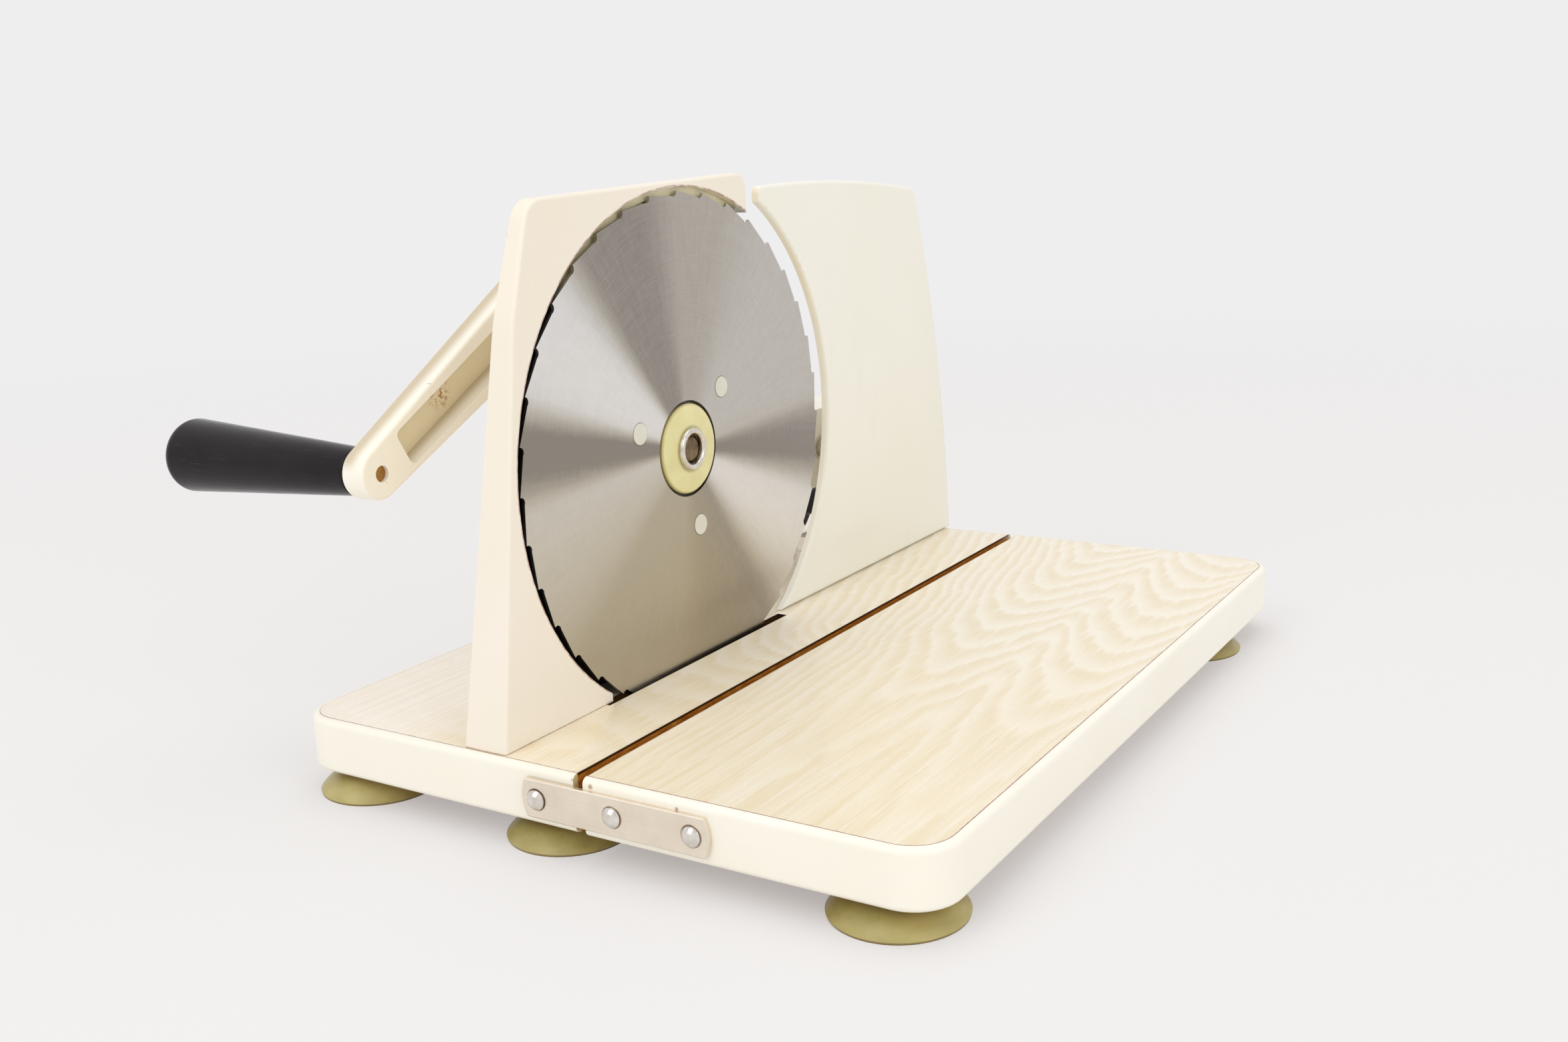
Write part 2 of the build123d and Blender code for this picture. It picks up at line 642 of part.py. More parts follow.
def strip_screw_hole(x):
    """Pilot holes from both edges of the boards for the domed screws."""
    depth = STRIP_SCREW_DEPTH + STRIP_THICKNESS + SLACK
    hole = Cylinder(STRIP_SHANK_RADIUS + SEATED, depth, align=(Align.CENTER, Align.CENTER, Align.MIN))
    plane = Plane(origin=(x, STRIP_FRONT_Y, BOARD_MIDDLE), z_dir=(0, 1, 0))
    return both_ends(Location(plane) * hole)


PIVOT_HOLES = strip_screw_hole(PIVOT_X)
FEED_STRIP_HOLES = union(strip_screw_hole(x) for x in STRIP_SCREW_XS)

node(
    "machine_board_core",
    board_body(MACHINE_SPAN, MACHINE_DEPTH, LEFT_SIDE, BOARD_BOTTOM, CORE_TOP)
    - SLOT - cup_screw_holes(MACHINE_CUPS) - PIVOT_HOLES - SCREW_CUTS,
)
node(
    "machine_board_laminate",
    board_body(MACHINE_SPAN, MACHINE_DEPTH, LEFT_SIDE, CORE_TOP, BOARD_TOP) - SLOT - SCREW_CUTS,
)
node("machine_board_edge_band", edge_band(MACHINE_SPAN, MACHINE_DEPTH, LEFT_SIDE) - PIVOT_HOLES)
node(
    "feed_board_core",
    board_body(FEED_SPAN, BOARD_DEPTH, RIGHT_SIDE, BOARD_BOTTOM, CORE_TOP)
    - cup_screw_holes(FEED_CUPS) - FEED_STRIP_HOLES,
)
node("feed_board_laminate", board_body(FEED_SPAN, BOARD_DEPTH, RIGHT_SIDE, CORE_TOP, BOARD_TOP))
node("feed_board_edge_band", edge_band(FEED_SPAN, BOARD_DEPTH, RIGHT_SIDE) - FEED_STRIP_HOLES)
node("machine_board_suction_cups", union(suction_cup(x, y) for x, y in MACHINE_CUPS))
node("machine_board_cup_screws", union(cup_screw(x, y) for x, y in MACHINE_CUPS))
node("feed_board_suction_cups", union(suction_cup(x, y) for x, y in FEED_CUPS))
node("feed_board_cup_screws", union(cup_screw(x, y) for x, y in FEED_CUPS))
node("front_hinge_strip", hinge_strip())
node("rear_hinge_strip", mirror(hinge_strip(), about=Plane.XZ))
node("hinge_pivot_screws", both_ends(domed_screw(PIVOT_X, COVER_GAP)))
node("hinge_fixing_screws", both_ends(union(domed_screw(x, 0.0) for x in STRIP_SCREW_XS)))


# ---------------------------------------------------------------- gears
def involute(angle):
    return tan(angle) - angle


def gear_face(teeth, phase):
    """Involute spur gear outline; one tooth is centred on the angle phase, in radians."""
    alpha = radians(PRESSURE_ANGLE)
    pitch_r = MODULE * teeth / 2
    base_r = pitch_r * cos(alpha)
    tip_r = pitch_r + MODULE
    root_r = pitch_r - DEDENDUM * MODULE
    half = (pi * MODULE / 2 - BACKLASH) / (2 * pitch_r)
    start_r = max(base_r, root_r)
    flank = []
    for i in range(FLANK_STEPS + 1):
        r = start_r + (tip_r - start_r) * i / FLANK_STEPS
        flank.append((r, half + involute(alpha) - involute(acos(min(1.0, base_r / r)))))
    if root_r < start_r:
        flank.insert(0, (root_r, flank[0][1]))
    points = []
    for k in range(teeth):
        middle = phase + 2 * pi * k / teeth
        rising = [(r, middle - a) for r, a in flank]
        falling = [(r, middle + a) for r, a in reversed(flank)]
        points += [(r * cos(a), r * sin(a)) for r, a in rising + falling]
    return polygon(*points)


# ---------------------------------------------------------------- blade and hub
def on_circle(radius, angle):
    """Point at a radius and an angle in degrees."""
    return (radius * cos(radians(angle)), radius * sin(radians(angle)))


def blade_face():
    """Blade outline: each tooth has a straight back that ends in a small round gullet."""
    pitch = 360 / TOOTH_COUNT
    root_r = BLADE_RADIUS - TOOTH_DEPTH
    edges = []
    for k in range(TOOTH_COUNT):
        tip_angle = TOOTH_PHASE + pitch * k
        next_angle = tip_angle - pitch
        tip = on_circle(BLADE_RADIUS, tip_angle)
        heel = on_circle(root_r, next_angle + pitch * GULLET_SHARE)
        low = on_circle(root_r - GULLET_SAG, next_angle + pitch * GULLET_SHARE / 2)
        edges.append(Line(tip, heel))
        edges.append(ThreePointArc(heel, low, on_circle(BLADE_RADIUS, next_angle)))
    holes = Circle(BLADE_BORE_RADIUS)
    for angle in PEG_ANGLES:
        holes = holes + Pos(*on_circle(PEG_CIRCLE_RADIUS, angle)) * Circle(PEG_RADIUS + RUNNING)
    return make_face(edges) - holes


def blade_drive():
    """Nylon flange behind the blade with three pegs through it and a pinion behind."""
    flange = rod(FLANGE_BACK, BLADE_BACK, FLANGE_RADIUS)
    groove = tube(BLADE_BACK - HUB_GROOVE_DEPTH, BEYOND, BLADE_BORE_RADIUS, HUB_DISC_RADIUS)
    phase = MESH_ANGLE + pi / PINION_TEETH
    pinion = prism(gear_face(PINION_TEETH, phase), PINION_BACK, FLANGE_BACK)
    pegs = union(
        rod(BLADE_BACK, PEG_STANDOUT, PEG_RADIUS, on_circle(PEG_CIRCLE_RADIUS, angle))
        for angle in PEG_ANGLES
    )
    ends = pegs.faces().filter_by(Axis.X).group_by(Axis.X)[-1]
    pegs = chamfer([edge for face in ends for edge in face.edges()], PEG_STANDOUT / 2)
    bore = rod(PINION_BACK - BEYOND, BEYOND, SLEEVE_RADIUS + SEATED)
    return flange - groove + pinion + pegs - bore


def hub_disc():
    """Shallow domed nylon disc that fills the middle of the blade's bore."""
    bore = SLEEVE_RADIUS + SEATED
    edge = (HUB_DISC_RADIUS - HUB_DISC_EDGE, HUB_DISC_EDGE)
    profile = outline(
        (bore, BLADE_BACK),
        (HUB_DISC_RADIUS, BLADE_BACK),
        (HUB_DISC_RADIUS, 0.0),
        edge,
        bulged(edge, (bore, HUB_DISC_STANDOUT), HUB_DISC_RISE),
    )
    return turned_along_x(profile)


CLIP_RADIUS = AXLE_RADIUS + CLIP_RING
MOUTH_RADIUS = CLIP_RADIUS + COVER_GAP
MOUTH_START = -CLIP_HALF - COVER_GAP


def hub_sleeve():
    """Steel bearing sleeve through the drive, its front end rolled over into a rim."""
    rim_back = HUB_DISC_STANDOUT + RUNNING
    shoulder = SLEEVE_STANDOUT - SLEEVE_RIM_ROUND
    crest = ((SLEEVE_RIM_RADIUS + MOUTH_RADIUS) / 2, SLEEVE_STANDOUT)
    profile = outline(
        (AXLE_RADIUS + RUNNING, PINION_BACK),
        (SLEEVE_RADIUS, PINION_BACK),
        (SLEEVE_RADIUS, rim_back),
        (SLEEVE_RIM_RADIUS, rim_back),
        (SLEEVE_RIM_RADIUS, shoulder),
        (crest, (MOUTH_RADIUS, shoulder)),
        (MOUTH_RADIUS, MOUTH_START),
        (AXLE_RADIUS + RUNNING, MOUTH_START),
    )
    return turned_along_x(profile)


def blade_axle():
    """Fixed steel pin: plain bearing length in front, threaded through the case behind."""
    end = -AXLE_BOSS_END - AXLE_THREAD_END
    groove = AXLE_RADIUS - CLIP_GROOVE
    profile = outline(
        (0.0, end),
        (AXLE_THREAD_RADIUS, end),
        (AXLE_THREAD_RADIUS, CASE_FLOOR),
        (AXLE_RADIUS, CASE_FLOOR),
        (AXLE_RADIUS, -CLIP_HALF),
        (groove, -CLIP_HALF),
        (groove, CLIP_HALF),
        (AXLE_RADIUS, CLIP_HALF),
        (AXLE_RADIUS, AXLE_FRONT - AXLE_CHAMFER),
        (AXLE_RADIUS - AXLE_CHAMFER, AXLE_FRONT),
        (0.0, AXLE_FRONT),
    )
    return turned_along_x(profile)


def open_clip(x_back, x_front, outer, inner, gap, at=(0.0, 0.0)):
    """Spring clip for a groove: a flat ring with a gap at the bottom."""
    ring = tube(x_back, x_front, outer, inner, at)
    y, z = at
    return ring - blade_block(x_back - BEYOND, x_front + BEYOND, y - gap / 2, y + gap / 2, z - 2 * outer, z)


def hex_nut(x_back, x_front, across_flats, bore, at=(0.0, 0.0)):
    """Hexagonal nut along X."""
    face = RegularPolygon(across_flats / sqrt(3), 6) - Circle(bore + SEATED)
    return prism(face, x_back, x_front, at)


AXLE_WASHER_BACK = -AXLE_BOSS_END - AXLE_WASHER

node("blade", prism(blade_face(), BLADE_BACK, 0.0))
node("blade_drive_gear", blade_drive())
node("hub_disc", hub_disc())
node("hub_sleeve", hub_sleeve())
node("blade_axle", blade_axle())
node(
    "axle_clip",
    open_clip(
        -CLIP_HALF + SEATED, CLIP_HALF - SEATED, CLIP_RADIUS,
        AXLE_RADIUS - CLIP_GROOVE + SEATED, CLIP_GAP,
    ),
)
node(
    "blade_thrust_washer",
    tube(CASE_FLOOR, PINION_BACK - RUNNING, SLEEVE_RADIUS + THRUST_RING, AXLE_RADIUS + SEATED),
)
node(
    "axle_washer",
    tube(AXLE_WASHER_BACK, -AXLE_BOSS_END, AXLE_WASHER_RADIUS, AXLE_THREAD_RADIUS + SEATED),
)
node(
    "axle_nut",
    hex_nut(
        AXLE_WASHER_BACK - AXLE_NUT_HEIGHT, AXLE_WASHER_BACK, AXLE_NUT_FLATS, AXLE_THREAD_RADIUS
    ),
)


# ---------------------------------------------------------------- housing
REAR_SLOPE = (DEPTH_AT_BASE - DEPTH_AT_TOP) / (TOP_FAR[1] - BASE)
SHELL_INSIDE = HOUSING_FACE - HOUSING_WALL
BEHIND = -CRANK_BOSS_END - BEYOND


def rear_x(z):
    """Depth of the leaning rear plane at a height measured from the blade's axis."""
    return -DEPTH_AT_BASE + REAR_SLOPE * (z - BASE)


def housing_face(below=0.0):
    """Outer outline of the housing before the blade's pocket is cut, run on below the base."""
    lean = (KNEE[0] - BASE_NEAR_Y) / (KNEE[1] - BASE)
    low = BASE - below
    face = polygon((BASE_NEAR_Y - lean * below, low), KNEE, TOP_NEAR, TOP_FAR, (TOP_FAR[0], low))
    face = round_corner(face, KNEE, KNEE_ROUND)
    face = round_corner(face, TOP_NEAR, TOP_NEAR_ROUND)
    return round_corner(face, TOP_FAR, TOP_FAR_ROUND)


def in_front_of_rear(inset):
    """Everything in front of the housing's leaning rear plane, moved forward by inset."""
    low, high = BASE - FAR_BEYOND, TOP_FAR[1] + FAR_BEYOND
    side = polygon(
        (rear_x(low) + inset, low), (FAR_BEYOND, low), (FAR_BEYOND, high), (rear_x(high) + inset, high)
    )
    plane = Plane(origin=(0, -FAR_BEYOND, BLADE_Z), x_dir=(1, 0, 0), z_dir=(0, -1, 0))
    return extrude(plane * side, amount=-2 * FAR_BEYOND)


def cover_panel_face(gap):
    """Outline of the cover's panel inside the shell, larger by a gap."""
    inset = COVER_INSET - gap
    face = offset(housing_face(inset), -inset, kind=Kind.INTERSECTION)
    edge = [(y + gap, BASE + z) for y, z in zip(COVER_FAR_Y, COVER_FAR_HEIGHTS)]
    return face & polygon((-FAR_BEYOND, BASE), *edge, (-FAR_BEYOND, BASE + COVER_FAR_HEIGHTS[-1]))


def base_boss(x, y):
    """Upright boss standing on the board, for a screw from below."""
    return upright(x, y, BOARD_TOP, BOARD_TOP + BASE_BOSS_HEIGHT, BASE_BOSS_RADIUS)


def cover_screw_tip(at):
    """Where a cover screw ends, inside the shell's front face."""
    return min(rear_x(at[1]) + COVER_SCREW_LENGTH, SHELL_INSIDE - SLACK)


def front_shell():
    """Cream front shell: face, side and top walls, and the round wall beside the blade."""
    face = housing_face()
    body = prism(face, -DEPTH_AT_BASE - BEYOND, HOUSING_FACE) & in_front_of_rear(0.0)
    board = BLADE_Z + BASE + BEYOND
    rim = [e for e in body.faces().sort_by(Axis.X)[-1].edges() if e.center().Z > board]
    body = fillet(rim, EDGE_ROUND)
    wall = Circle(POCKET_RADIUS + HOUSING_WALL)
    inner = offset(housing_face(HOUSING_WALL), -HOUSING_WALL, kind=Kind.INTERSECTION) - wall
    body = body - prism(inner, BEHIND, SHELL_INSIDE)
    for x, y in SHELL_SCREWS:
        web = block(
            x, SHELL_INSIDE, y - BOSS_WEB / 2, y + BOSS_WEB / 2, BOARD_TOP, BOARD_TOP + BASE_BOSS_HEIGHT
        )
        body = body + base_boss(x, y) + web
    for at in COVER_SCREWS:
        body = body + rod(rear_x(at[1]), SHELL_INSIDE, COVER_BOSS_RADIUS, at)
    body = body - (prism(cover_panel_face(COVER_GAP), BEHIND, BEYOND) - in_front_of_rear(COVER_INSET))
    for at in COVER_SCREWS:
        body = body - rod(BEHIND, cover_screw_tip(at) + SLACK, COVER_SCREW_RADIUS + SEATED, at)
    body = body - prism(Circle(POCKET_RADIUS), BEHIND, HOUSING_FACE + BEYOND)
    tip = blade_block(BEHIND, HOUSING_FACE + BEYOND, TIP_CUT_Y, 0, BASE - BEYOND, BASE + TIP_CUT_HEIGHT)
    return body - tip - SCREW_CUTS


def gear_case_face(crank_r, blade_r):
    """Outline that wraps both gears."""
    return make_hull((Pos(*CRANK_AT) * Circle(crank_r)).edges() + Circle(blade_r).edges())


def boss_ribs():
    """Ribs that brace the crank's bearing boss against the gear case."""
    foot = -CASE_DEPTH + CASE_WALL / 2
    top = -CRANK_BOSS_END + RIB_DROP
    inside = CRANK_BOSS_RADIUS - RIB_THICKNESS / 2
    outside = CRANK_BOSS_RADIUS + RIB_REACH
    side = polygon((foot, inside), (foot, outside), (top, CRANK_BOSS_RADIUS), (top, inside))
    plane = Plane(origin=(0, 0, 0), x_dir=(1, 0, 0), z_dir=(0, -1, 0))
    rib = extrude(plane * side, amount=RIB_THICKNESS / 2, both=True)
    at_crank = Pos(0, BLADE_Y + CRANK_AT[0], BLADE_Z + CRANK_AT[1])
    return union(at_crank * Rot(angle, 0, 0) * rib for angle in RIB_ANGLES)


CRANK_BUSH_RADIUS = SHAFT_RADIUS + RUNNING + BUSH_WALL


def rear_cover():
    """Rear cover: leaning panel inside the shell, deep gear case, bearing bosses and ribs."""
    panel_face = cover_panel_face(0.0)
    panel = prism(panel_face, BEHIND, BEYOND) & in_front_of_rear(0.0)
    panel = panel - in_front_of_rear(HOUSING_WALL)
    crank_r = CRANK_GEAR_ROOM
    blade_r =MODULE * (PINION_TEETH / 2 + 1) + TIP_ROOM
    front = rear_x(CRANK_AT[1])
    case = loft([
        blade_plane(-CASE_DEPTH) * gear_case_face(crank_r + CASE_WALL, blade_r + CASE_WALL),
        blade_plane(front) * gear_case_face(
            crank_r + CASE_WALL + CASE_FLARE, blade_r + CASE_WALL + CASE_FLARE
        ),
    ], ruled=True)
    case = (case & prism(panel_face, BEHIND, BEYOND)) - in_front_of_rear(HOUSING_WALL)
    body = panel + case
    body = body + rod(-CRANK_BOSS_END, CASE_FLOOR - CASE_WALL / 2, CRANK_BOSS_RADIUS, CRANK_AT)
    body = body + rod(-AXLE_BOSS_END, CASE_FLOOR - CASE_WALL / 2, AXLE_BOSS_RADIUS)
    body = body + boss_ribs() + union(base_boss(x, y) for x, y in COVER_BASE_SCREWS)
    body = body - prism(gear_case_face(crank_r, blade_r), CASE_FLOOR, BEYOND)
    body = body - rod(BEHIND, BEYOND, AXLE_THREAD_RADIUS + SEATED)
    body = body - rod(BEHIND, BEYOND, CRANK_BUSH_RADIUS + SEATED, CRANK_AT)
    for at in COVER_SCREWS:
        body = body - rod(BEHIND, BEYOND, COVER_SCREW_RADIUS + COVER_GAP, at)
    return body - SCREW_CUTS


def cover_screw(at):
    """Pan-head screw from behind through the cover into the shell."""
    seat = rear_x(at[1] - COVER_SCREW_HEAD_RADIUS)
    head = rod(seat - COVER_SCREW_HEAD, seat, COVER_SCREW_HEAD_RADIUS, at)
    return head + rod(seat, cover_screw_tip(at), COVER_SCREW_RADIUS, at)


def crank_bush():
    """Flanged bearing bush for the crank's shaft."""
    inner = SHAFT_RADIUS + RUNNING
    body = tube(-CRANK_BOSS_END - BUSH_STANDOUT, CASE_FLOOR, CRANK_BUSH_RADIUS, inner, CRANK_AT)
    flange = tube(CASE_FLOOR, CASE_FLOOR + BUSH_FLANGE, BUSH_FLANGE_RADIUS, inner, CRANK_AT)
    return body + flange


node("housing_front_shell", front_shell())
node("housing_rear_cover", rear_cover())
node("housing_cover_screws", union(cover_screw(at) for at in COVER_SCREWS))
node("crank_bush", crank_bush())


# ---------------------------------------------------------------- crank
TOWARDS_HUB = ARM_ANGLE - 180
SHAFT_END = ARM_BACK + SLACK
SCREW_END = ARM_BACK - ARM_WASHER + ARM_SCREW_LENGTH


def flat_side(grow=0.0):
    """Round section of the shaft with one flat, where the gear sits."""
    radius = SHAFT_RADIUS + grow
    trim = Pos(0, 2 * radius - SHAFT_FLAT) * Rectangle(2 * radius, 2 * radius)
    return Circle(radius) - trim


def crank_shaft():
    """Steel shaft: retaining head, flat for the gear, bearing length, square for the arm."""
    head = rod(GEAR_FRONT + RUNNING, GEAR_FRONT + RUNNING + SHAFT_HEAD, SHAFT_HEAD_RADIUS, CRANK_AT)
    gear_seat = prism(flat_side(), GEAR_BACK, GEAR_FRONT + RUNNING, CRANK_AT)
    bearing = rod(-SHAFT_SQUARE_START, GEAR_BACK, SHAFT_RADIUS, CRANK_AT)
    square = Rectangle(SHAFT_SQUARE, SHAFT_SQUARE) & Circle(SHAFT_RADIUS)
    end = prism(Rot(0, 0, TOWARDS_HUB) * square, SHAFT_END, -SHAFT_SQUARE_START, CRANK_AT)
    tapped = rod(SHAFT_END - BEYOND, SCREW_END + SLACK, ARM_SCREW_RADIUS + SEATED, CRANK_AT)
    return head + gear_seat + bearing + end - tapped


def crank_gear():
    """Large gear on the crank's shaft that drives the pinion."""
    face = gear_face(CRANK_GEAR_TEETH, MESH_ANGLE + pi) - flat_side(SEATED)
    return prism(face, GEAR_BACK, GEAR_FRONT, CRANK_AT)


def crank_arm():
    """Arm with a recess along its front, a long hub at one end and the handle's pin hole."""
    ends = (Pos(*CRANK_AT) * Circle(ARM_HUB_RADIUS)).edges()
    face = make_hull(ends + (Pos(*HANDLE_AT) * Circle(ARM_BOSS_RADIUS)).edges())
    bar = prism(face, ARM_BACK, -ARM_FRONT)
    rims = bar.faces().sort_by(Axis.X)
    bar = fillet(rims[0].edges() + rims[-1].edges(), ARM_EDGE_ROUND)
    length = ARM_LENGTH - RECESS_START - RECESS_END
    middle = RECESS_START + length / 2
    centre = (
        HANDLE_AT[0] + middle * cos(radians(TOWARDS_HUB)),
        HANDLE_AT[1] + middle * sin(radians(TOWARDS_HUB)),
    )
    recess = Rot(0, 0, TOWARDS_HUB) * RectangleRounded(length, RECESS_WIDTH, RECESS_ROUND)
    bar = bar - prism(recess, ARM_BACK + ARM_WEB, -ARM_FRONT + BEYOND, centre)
    body = bar + rod(-ARM_FRONT - ARM_EDGE_ROUND, -HUB_START, HUB_RADIUS, CRANK_AT)
    round_bore = rod(-SHAFT_SQUARE_START - SEATED, -HUB_START + BEYOND, SHAFT_RADIUS + SEATED, CRANK_AT)
    hole_side = SHAFT_SQUARE + 2 * SEATED
    square = Rectangle(hole_side, hole_side) & Circle(SHAFT_RADIUS + SEATED)
    square_bore = prism(
        Rot(0, 0, TOWARDS_HUB) * square, ARM_BACK - BEYOND, -SHAFT_SQUARE_START, CRANK_AT
    )
    pin_hole = rod(ARM_BACK - BEYOND, -ARM_FRONT + BEYOND, HANDLE_PIN_RADIUS + SEATED, HANDLE_AT)
    return body - round_bore - square_bore - pin_hole


def arm_screw():
    """Domed screw that clamps the arm to the end of the shaft."""
    seat = ARM_BACK - ARM_WASHER
    head = ARM_SCREW_HEAD_RADIUS
    low, high = seat - ARM_SCREW_HEAD / 2, seat - ARM_SCREW_HEAD
    profile = outline(
        (0.0, SCREW_END),
        (ARM_SCREW_RADIUS, SCREW_END),
        (ARM_SCREW_RADIUS, seat),
        (head, seat),
        (head, low),
        (dome_way(head, low, high), (0.0, high)),
    )
    return turned_along_x(profile, CRANK_AT)


GRIP_START = ARM_BACK - SLACK
PIN_END = GRIP_START - HANDLE_PIN_REACH


def handle_pin():
    """Pin riveted in the arm; its wide end keeps the grip on."""
    wide = PIN_END + HANDLE_PIN_HEAD
    profile = outline(
        (0.0, PIN_END),
        (HANDLE_PIN_HEAD_RADIUS, PIN_END),
        (HANDLE_PIN_HEAD_RADIUS, wide),
        (HANDLE_PIN_BODY_RADIUS, wide),
        (HANDLE_PIN_BODY_RADIUS, ARM_BACK),
        (HANDLE_PIN_RADIUS, ARM_BACK),
        (HANDLE_PIN_RADIUS, -ARM_FRONT - HANDLE_PIN_RECESS),
        (0.0, -ARM_FRONT - HANDLE_PIN_RECESS),
    )
    return turned_along_x(profile, HANDLE_AT)


def handle_grip():
    """Tapered grip that turns on the pin, closed at its wide end."""
    bore = HANDLE_PIN_BODY_RADIUS + RUNNING
    wide = HANDLE_PIN_HEAD_RADIUS + RUNNING
    small, large = GRIP_SMALL_RADIUS, GRIP_LARGE_RADIUS
    a, b = GRIP_SMALL_ROUND, GRIP_LARGE_ROUND
    lean = (large - small) / (GRIP_END_X + GRIP_START)
    bend = 1 - sqrt(0.5)
    profile = outline(
        (bore, GRIP_START),
        (small - a, GRIP_START),
        ((small - a * bend, GRIP_START - a * bend), (small, GRIP_START - a)),
        (large - lean * b, -GRIP_END_X + b),
        ((large - b * bend, -GRIP_END_X + b * bend), (large - b, -GRIP_END_X)),
        (0.0, -GRIP_END_X),
        (0.0, PIN_END - RUNNING),
        (wide, PIN_END - RUNNING),
        (wide, PIN_END + HANDLE_PIN_HEAD + RUNNING),
        (bore, PIN_END + HANDLE_PIN_HEAD + RUNNING),
    )
    return turned_along_x(profile, HANDLE_AT)


node("crank_shaft", crank_shaft())
node("crank_gear", crank_gear())
node("crank_arm", crank_arm())
node(
    "crank_thrust_washer",
    tube(-HUB_START, -HUB_START + THRUST_WASHER, CRANK_BUSH_RADIUS, SHAFT_RADIUS + SEATED, CRANK_AT),
)
node(
    "crank_arm_washer",
    tube(ARM_BACK - ARM_WASHER, ARM_BACK, ARM_WASHER_RADIUS, ARM_SCREW_RADIUS + SEATED, CRANK_AT),
)
node("crank_arm_screw", arm_screw())
node("handle_pin", handle_pin())
node("handle_grip", handle_grip())


# ---------------------------------------------------------------- stop plate
def stop_plate_face():
    """Plate outline: hollow edge that follows the blade, curved top and leaning far side."""
    near_y, top_z = PLATE_NEAR_TOP
    low = BASE + PLATE_LIFT
    face = outline(
        PLATE_NEAR_TOP,
        (near_y, top_z - PLATE_NEAR_DROP),
        (PLATE_EDGE_MID, (PLATE_NEAR_BASE_Y, low)),
        (PLATE_FAR_BASE_Y, low),
        (PLATE_SIDE_MID, PLATE_FAR_TOP),
        (PLATE_TOP_MID, PLATE_NEAR_TOP),
    )
    face = round_corner(face, PLATE_NEAR_TOP, PLATE_NEAR_ROUND)
    return round_corner(face, PLATE_FAR_TOP, PLATE_FAR_ROUND)


def stop_plate():
    """Stop plate with a rim, bosses for the two guide rods and one for the spindle's nut."""
    face = stop_plate_face()
    body = prism(face, PLATE_BACK, PLATE_FACE)
    body = fillet(body.faces().sort_by(Axis.X)[-1].edges(), PLATE_EDGE_ROUND)
    body = body - prism(offset(face, -PLATE_RIM_WIDTH), PLATE_BACK - BEYOND, PLATE_INSIDE)
    for y in ROD_YS:
        body = body + rod(-ROD_BOSS_END, PLATE_INSIDE, ROD_BOSS_RADIUS, (y, ROD_Z))
        body = body - rod(-ROD_BOSS_END - BEYOND, PLATE_INSIDE, ROD_RADIUS + SEATED, (y, ROD_Z))
    body = body + rod(NUT_BACK, PLATE_INSIDE, NUT_BOSS_RADIUS, SPINDLE_AT)
    body = body - rod(NUT_BACK - BEYOND, NUT_FRONT, NUT_RADIUS + SEATED, SPINDLE_AT)
    return body - rod(NUT_FRONT - BEYOND, PLATE_INSIDE, SPINDLE_RADIUS + SLACK, SPINDLE_AT)


# ---------------------------------------------------------------- bracket and adjuster
POCKET_BACK = POST_BACK + SPINDLE_WALL
ROD_BUSH_RADIUS = ROD_RADIUS + RUNNING + ROD_BUSH_WALL


def plate_bracket():
    """Cream bracket on the board: beam for the guide rods, post for the spindle, foot."""
    beam = blade_block(BEAM_BACK, -BRACKET_FRONT, BEAM_NEAR_Y, BEAM_FAR_Y, BEAM_BOTTOM, BEAM_TOP)
    beam = fillet(beam.edges().filter_by(Axis.X), BRACKET_ROUND)
    post = blade_block(POST_BACK, -BRACKET_FRONT, POST_NEAR_Y, BEAM_FAR_Y, BASE, BEAM_BOTTOM + BRACKET_ROUND)
    foot_back = -BRACKET_FRONT - FOOT_DEPTH
    foot = blade_block(foot_back, -BRACKET_FRONT, POST_NEAR_Y, BEAM_FAR_Y, BASE, BASE + FOOT_HEIGHT)
    foot_edges = foot.edges().filter_by(Axis.Z).group_by(Axis.X)[0]
    body = beam + post + fillet(foot_edges, BRACKET_ROUND)
    body = body + union(base_boss(x, y) for x, y in FOOT_SCREWS)
    for y in ROD_YS:
        body = body - rod(BEAM_BACK - BEYOND, 0, ROD_BUSH_RADIUS + SEATED, (y, ROD_Z))
    pocket = NUT_BOSS_RADIUS + NUT_POCKET_ROOM
    body = body - rod(POCKET_BACK, 0, pocket, SPINDLE_AT)
    body = body - rod(POST_BACK - BEYOND, 0, SPINDLE_RADIUS + RUNNING, SPINDLE_AT)
    return body - SCREW_CUTS


CLIP_BACK = POCKET_BACK + RUNNING
CLIP_FRONT = CLIP_BACK + SPINDLE_CLIP
KNOB_BACK = -KNOB_FRONT - KNOB_THICKNESS
NECK_FRONT = POST_BACK - RUNNING
SPINDLE_END = KNOB_BACK + KNOB_HOLLOW_DEPTH


def adjuster_spindle():
    """Threaded spindle from the knob through the post into the plate's nut."""
    groove = SPINDLE_RADIUS - SPINDLE_GROOVE
    body = rod(SPINDLE_END, -SPINDLE_TIP, SPINDLE_RADIUS, SPINDLE_AT)
    ring = tube(CLIP_BACK - SEATED, CLIP_FRONT + SEATED, 2 * SPINDLE_RADIUS, groove, SPINDLE_AT)
    tapped = SPINDLE_END + KNOB_SCREW_LENGTH + SLACK
    return body - ring - rod(SPINDLE_END, tapped, KNOB_SCREW_RADIUS + SEATED, SPINDLE_AT)


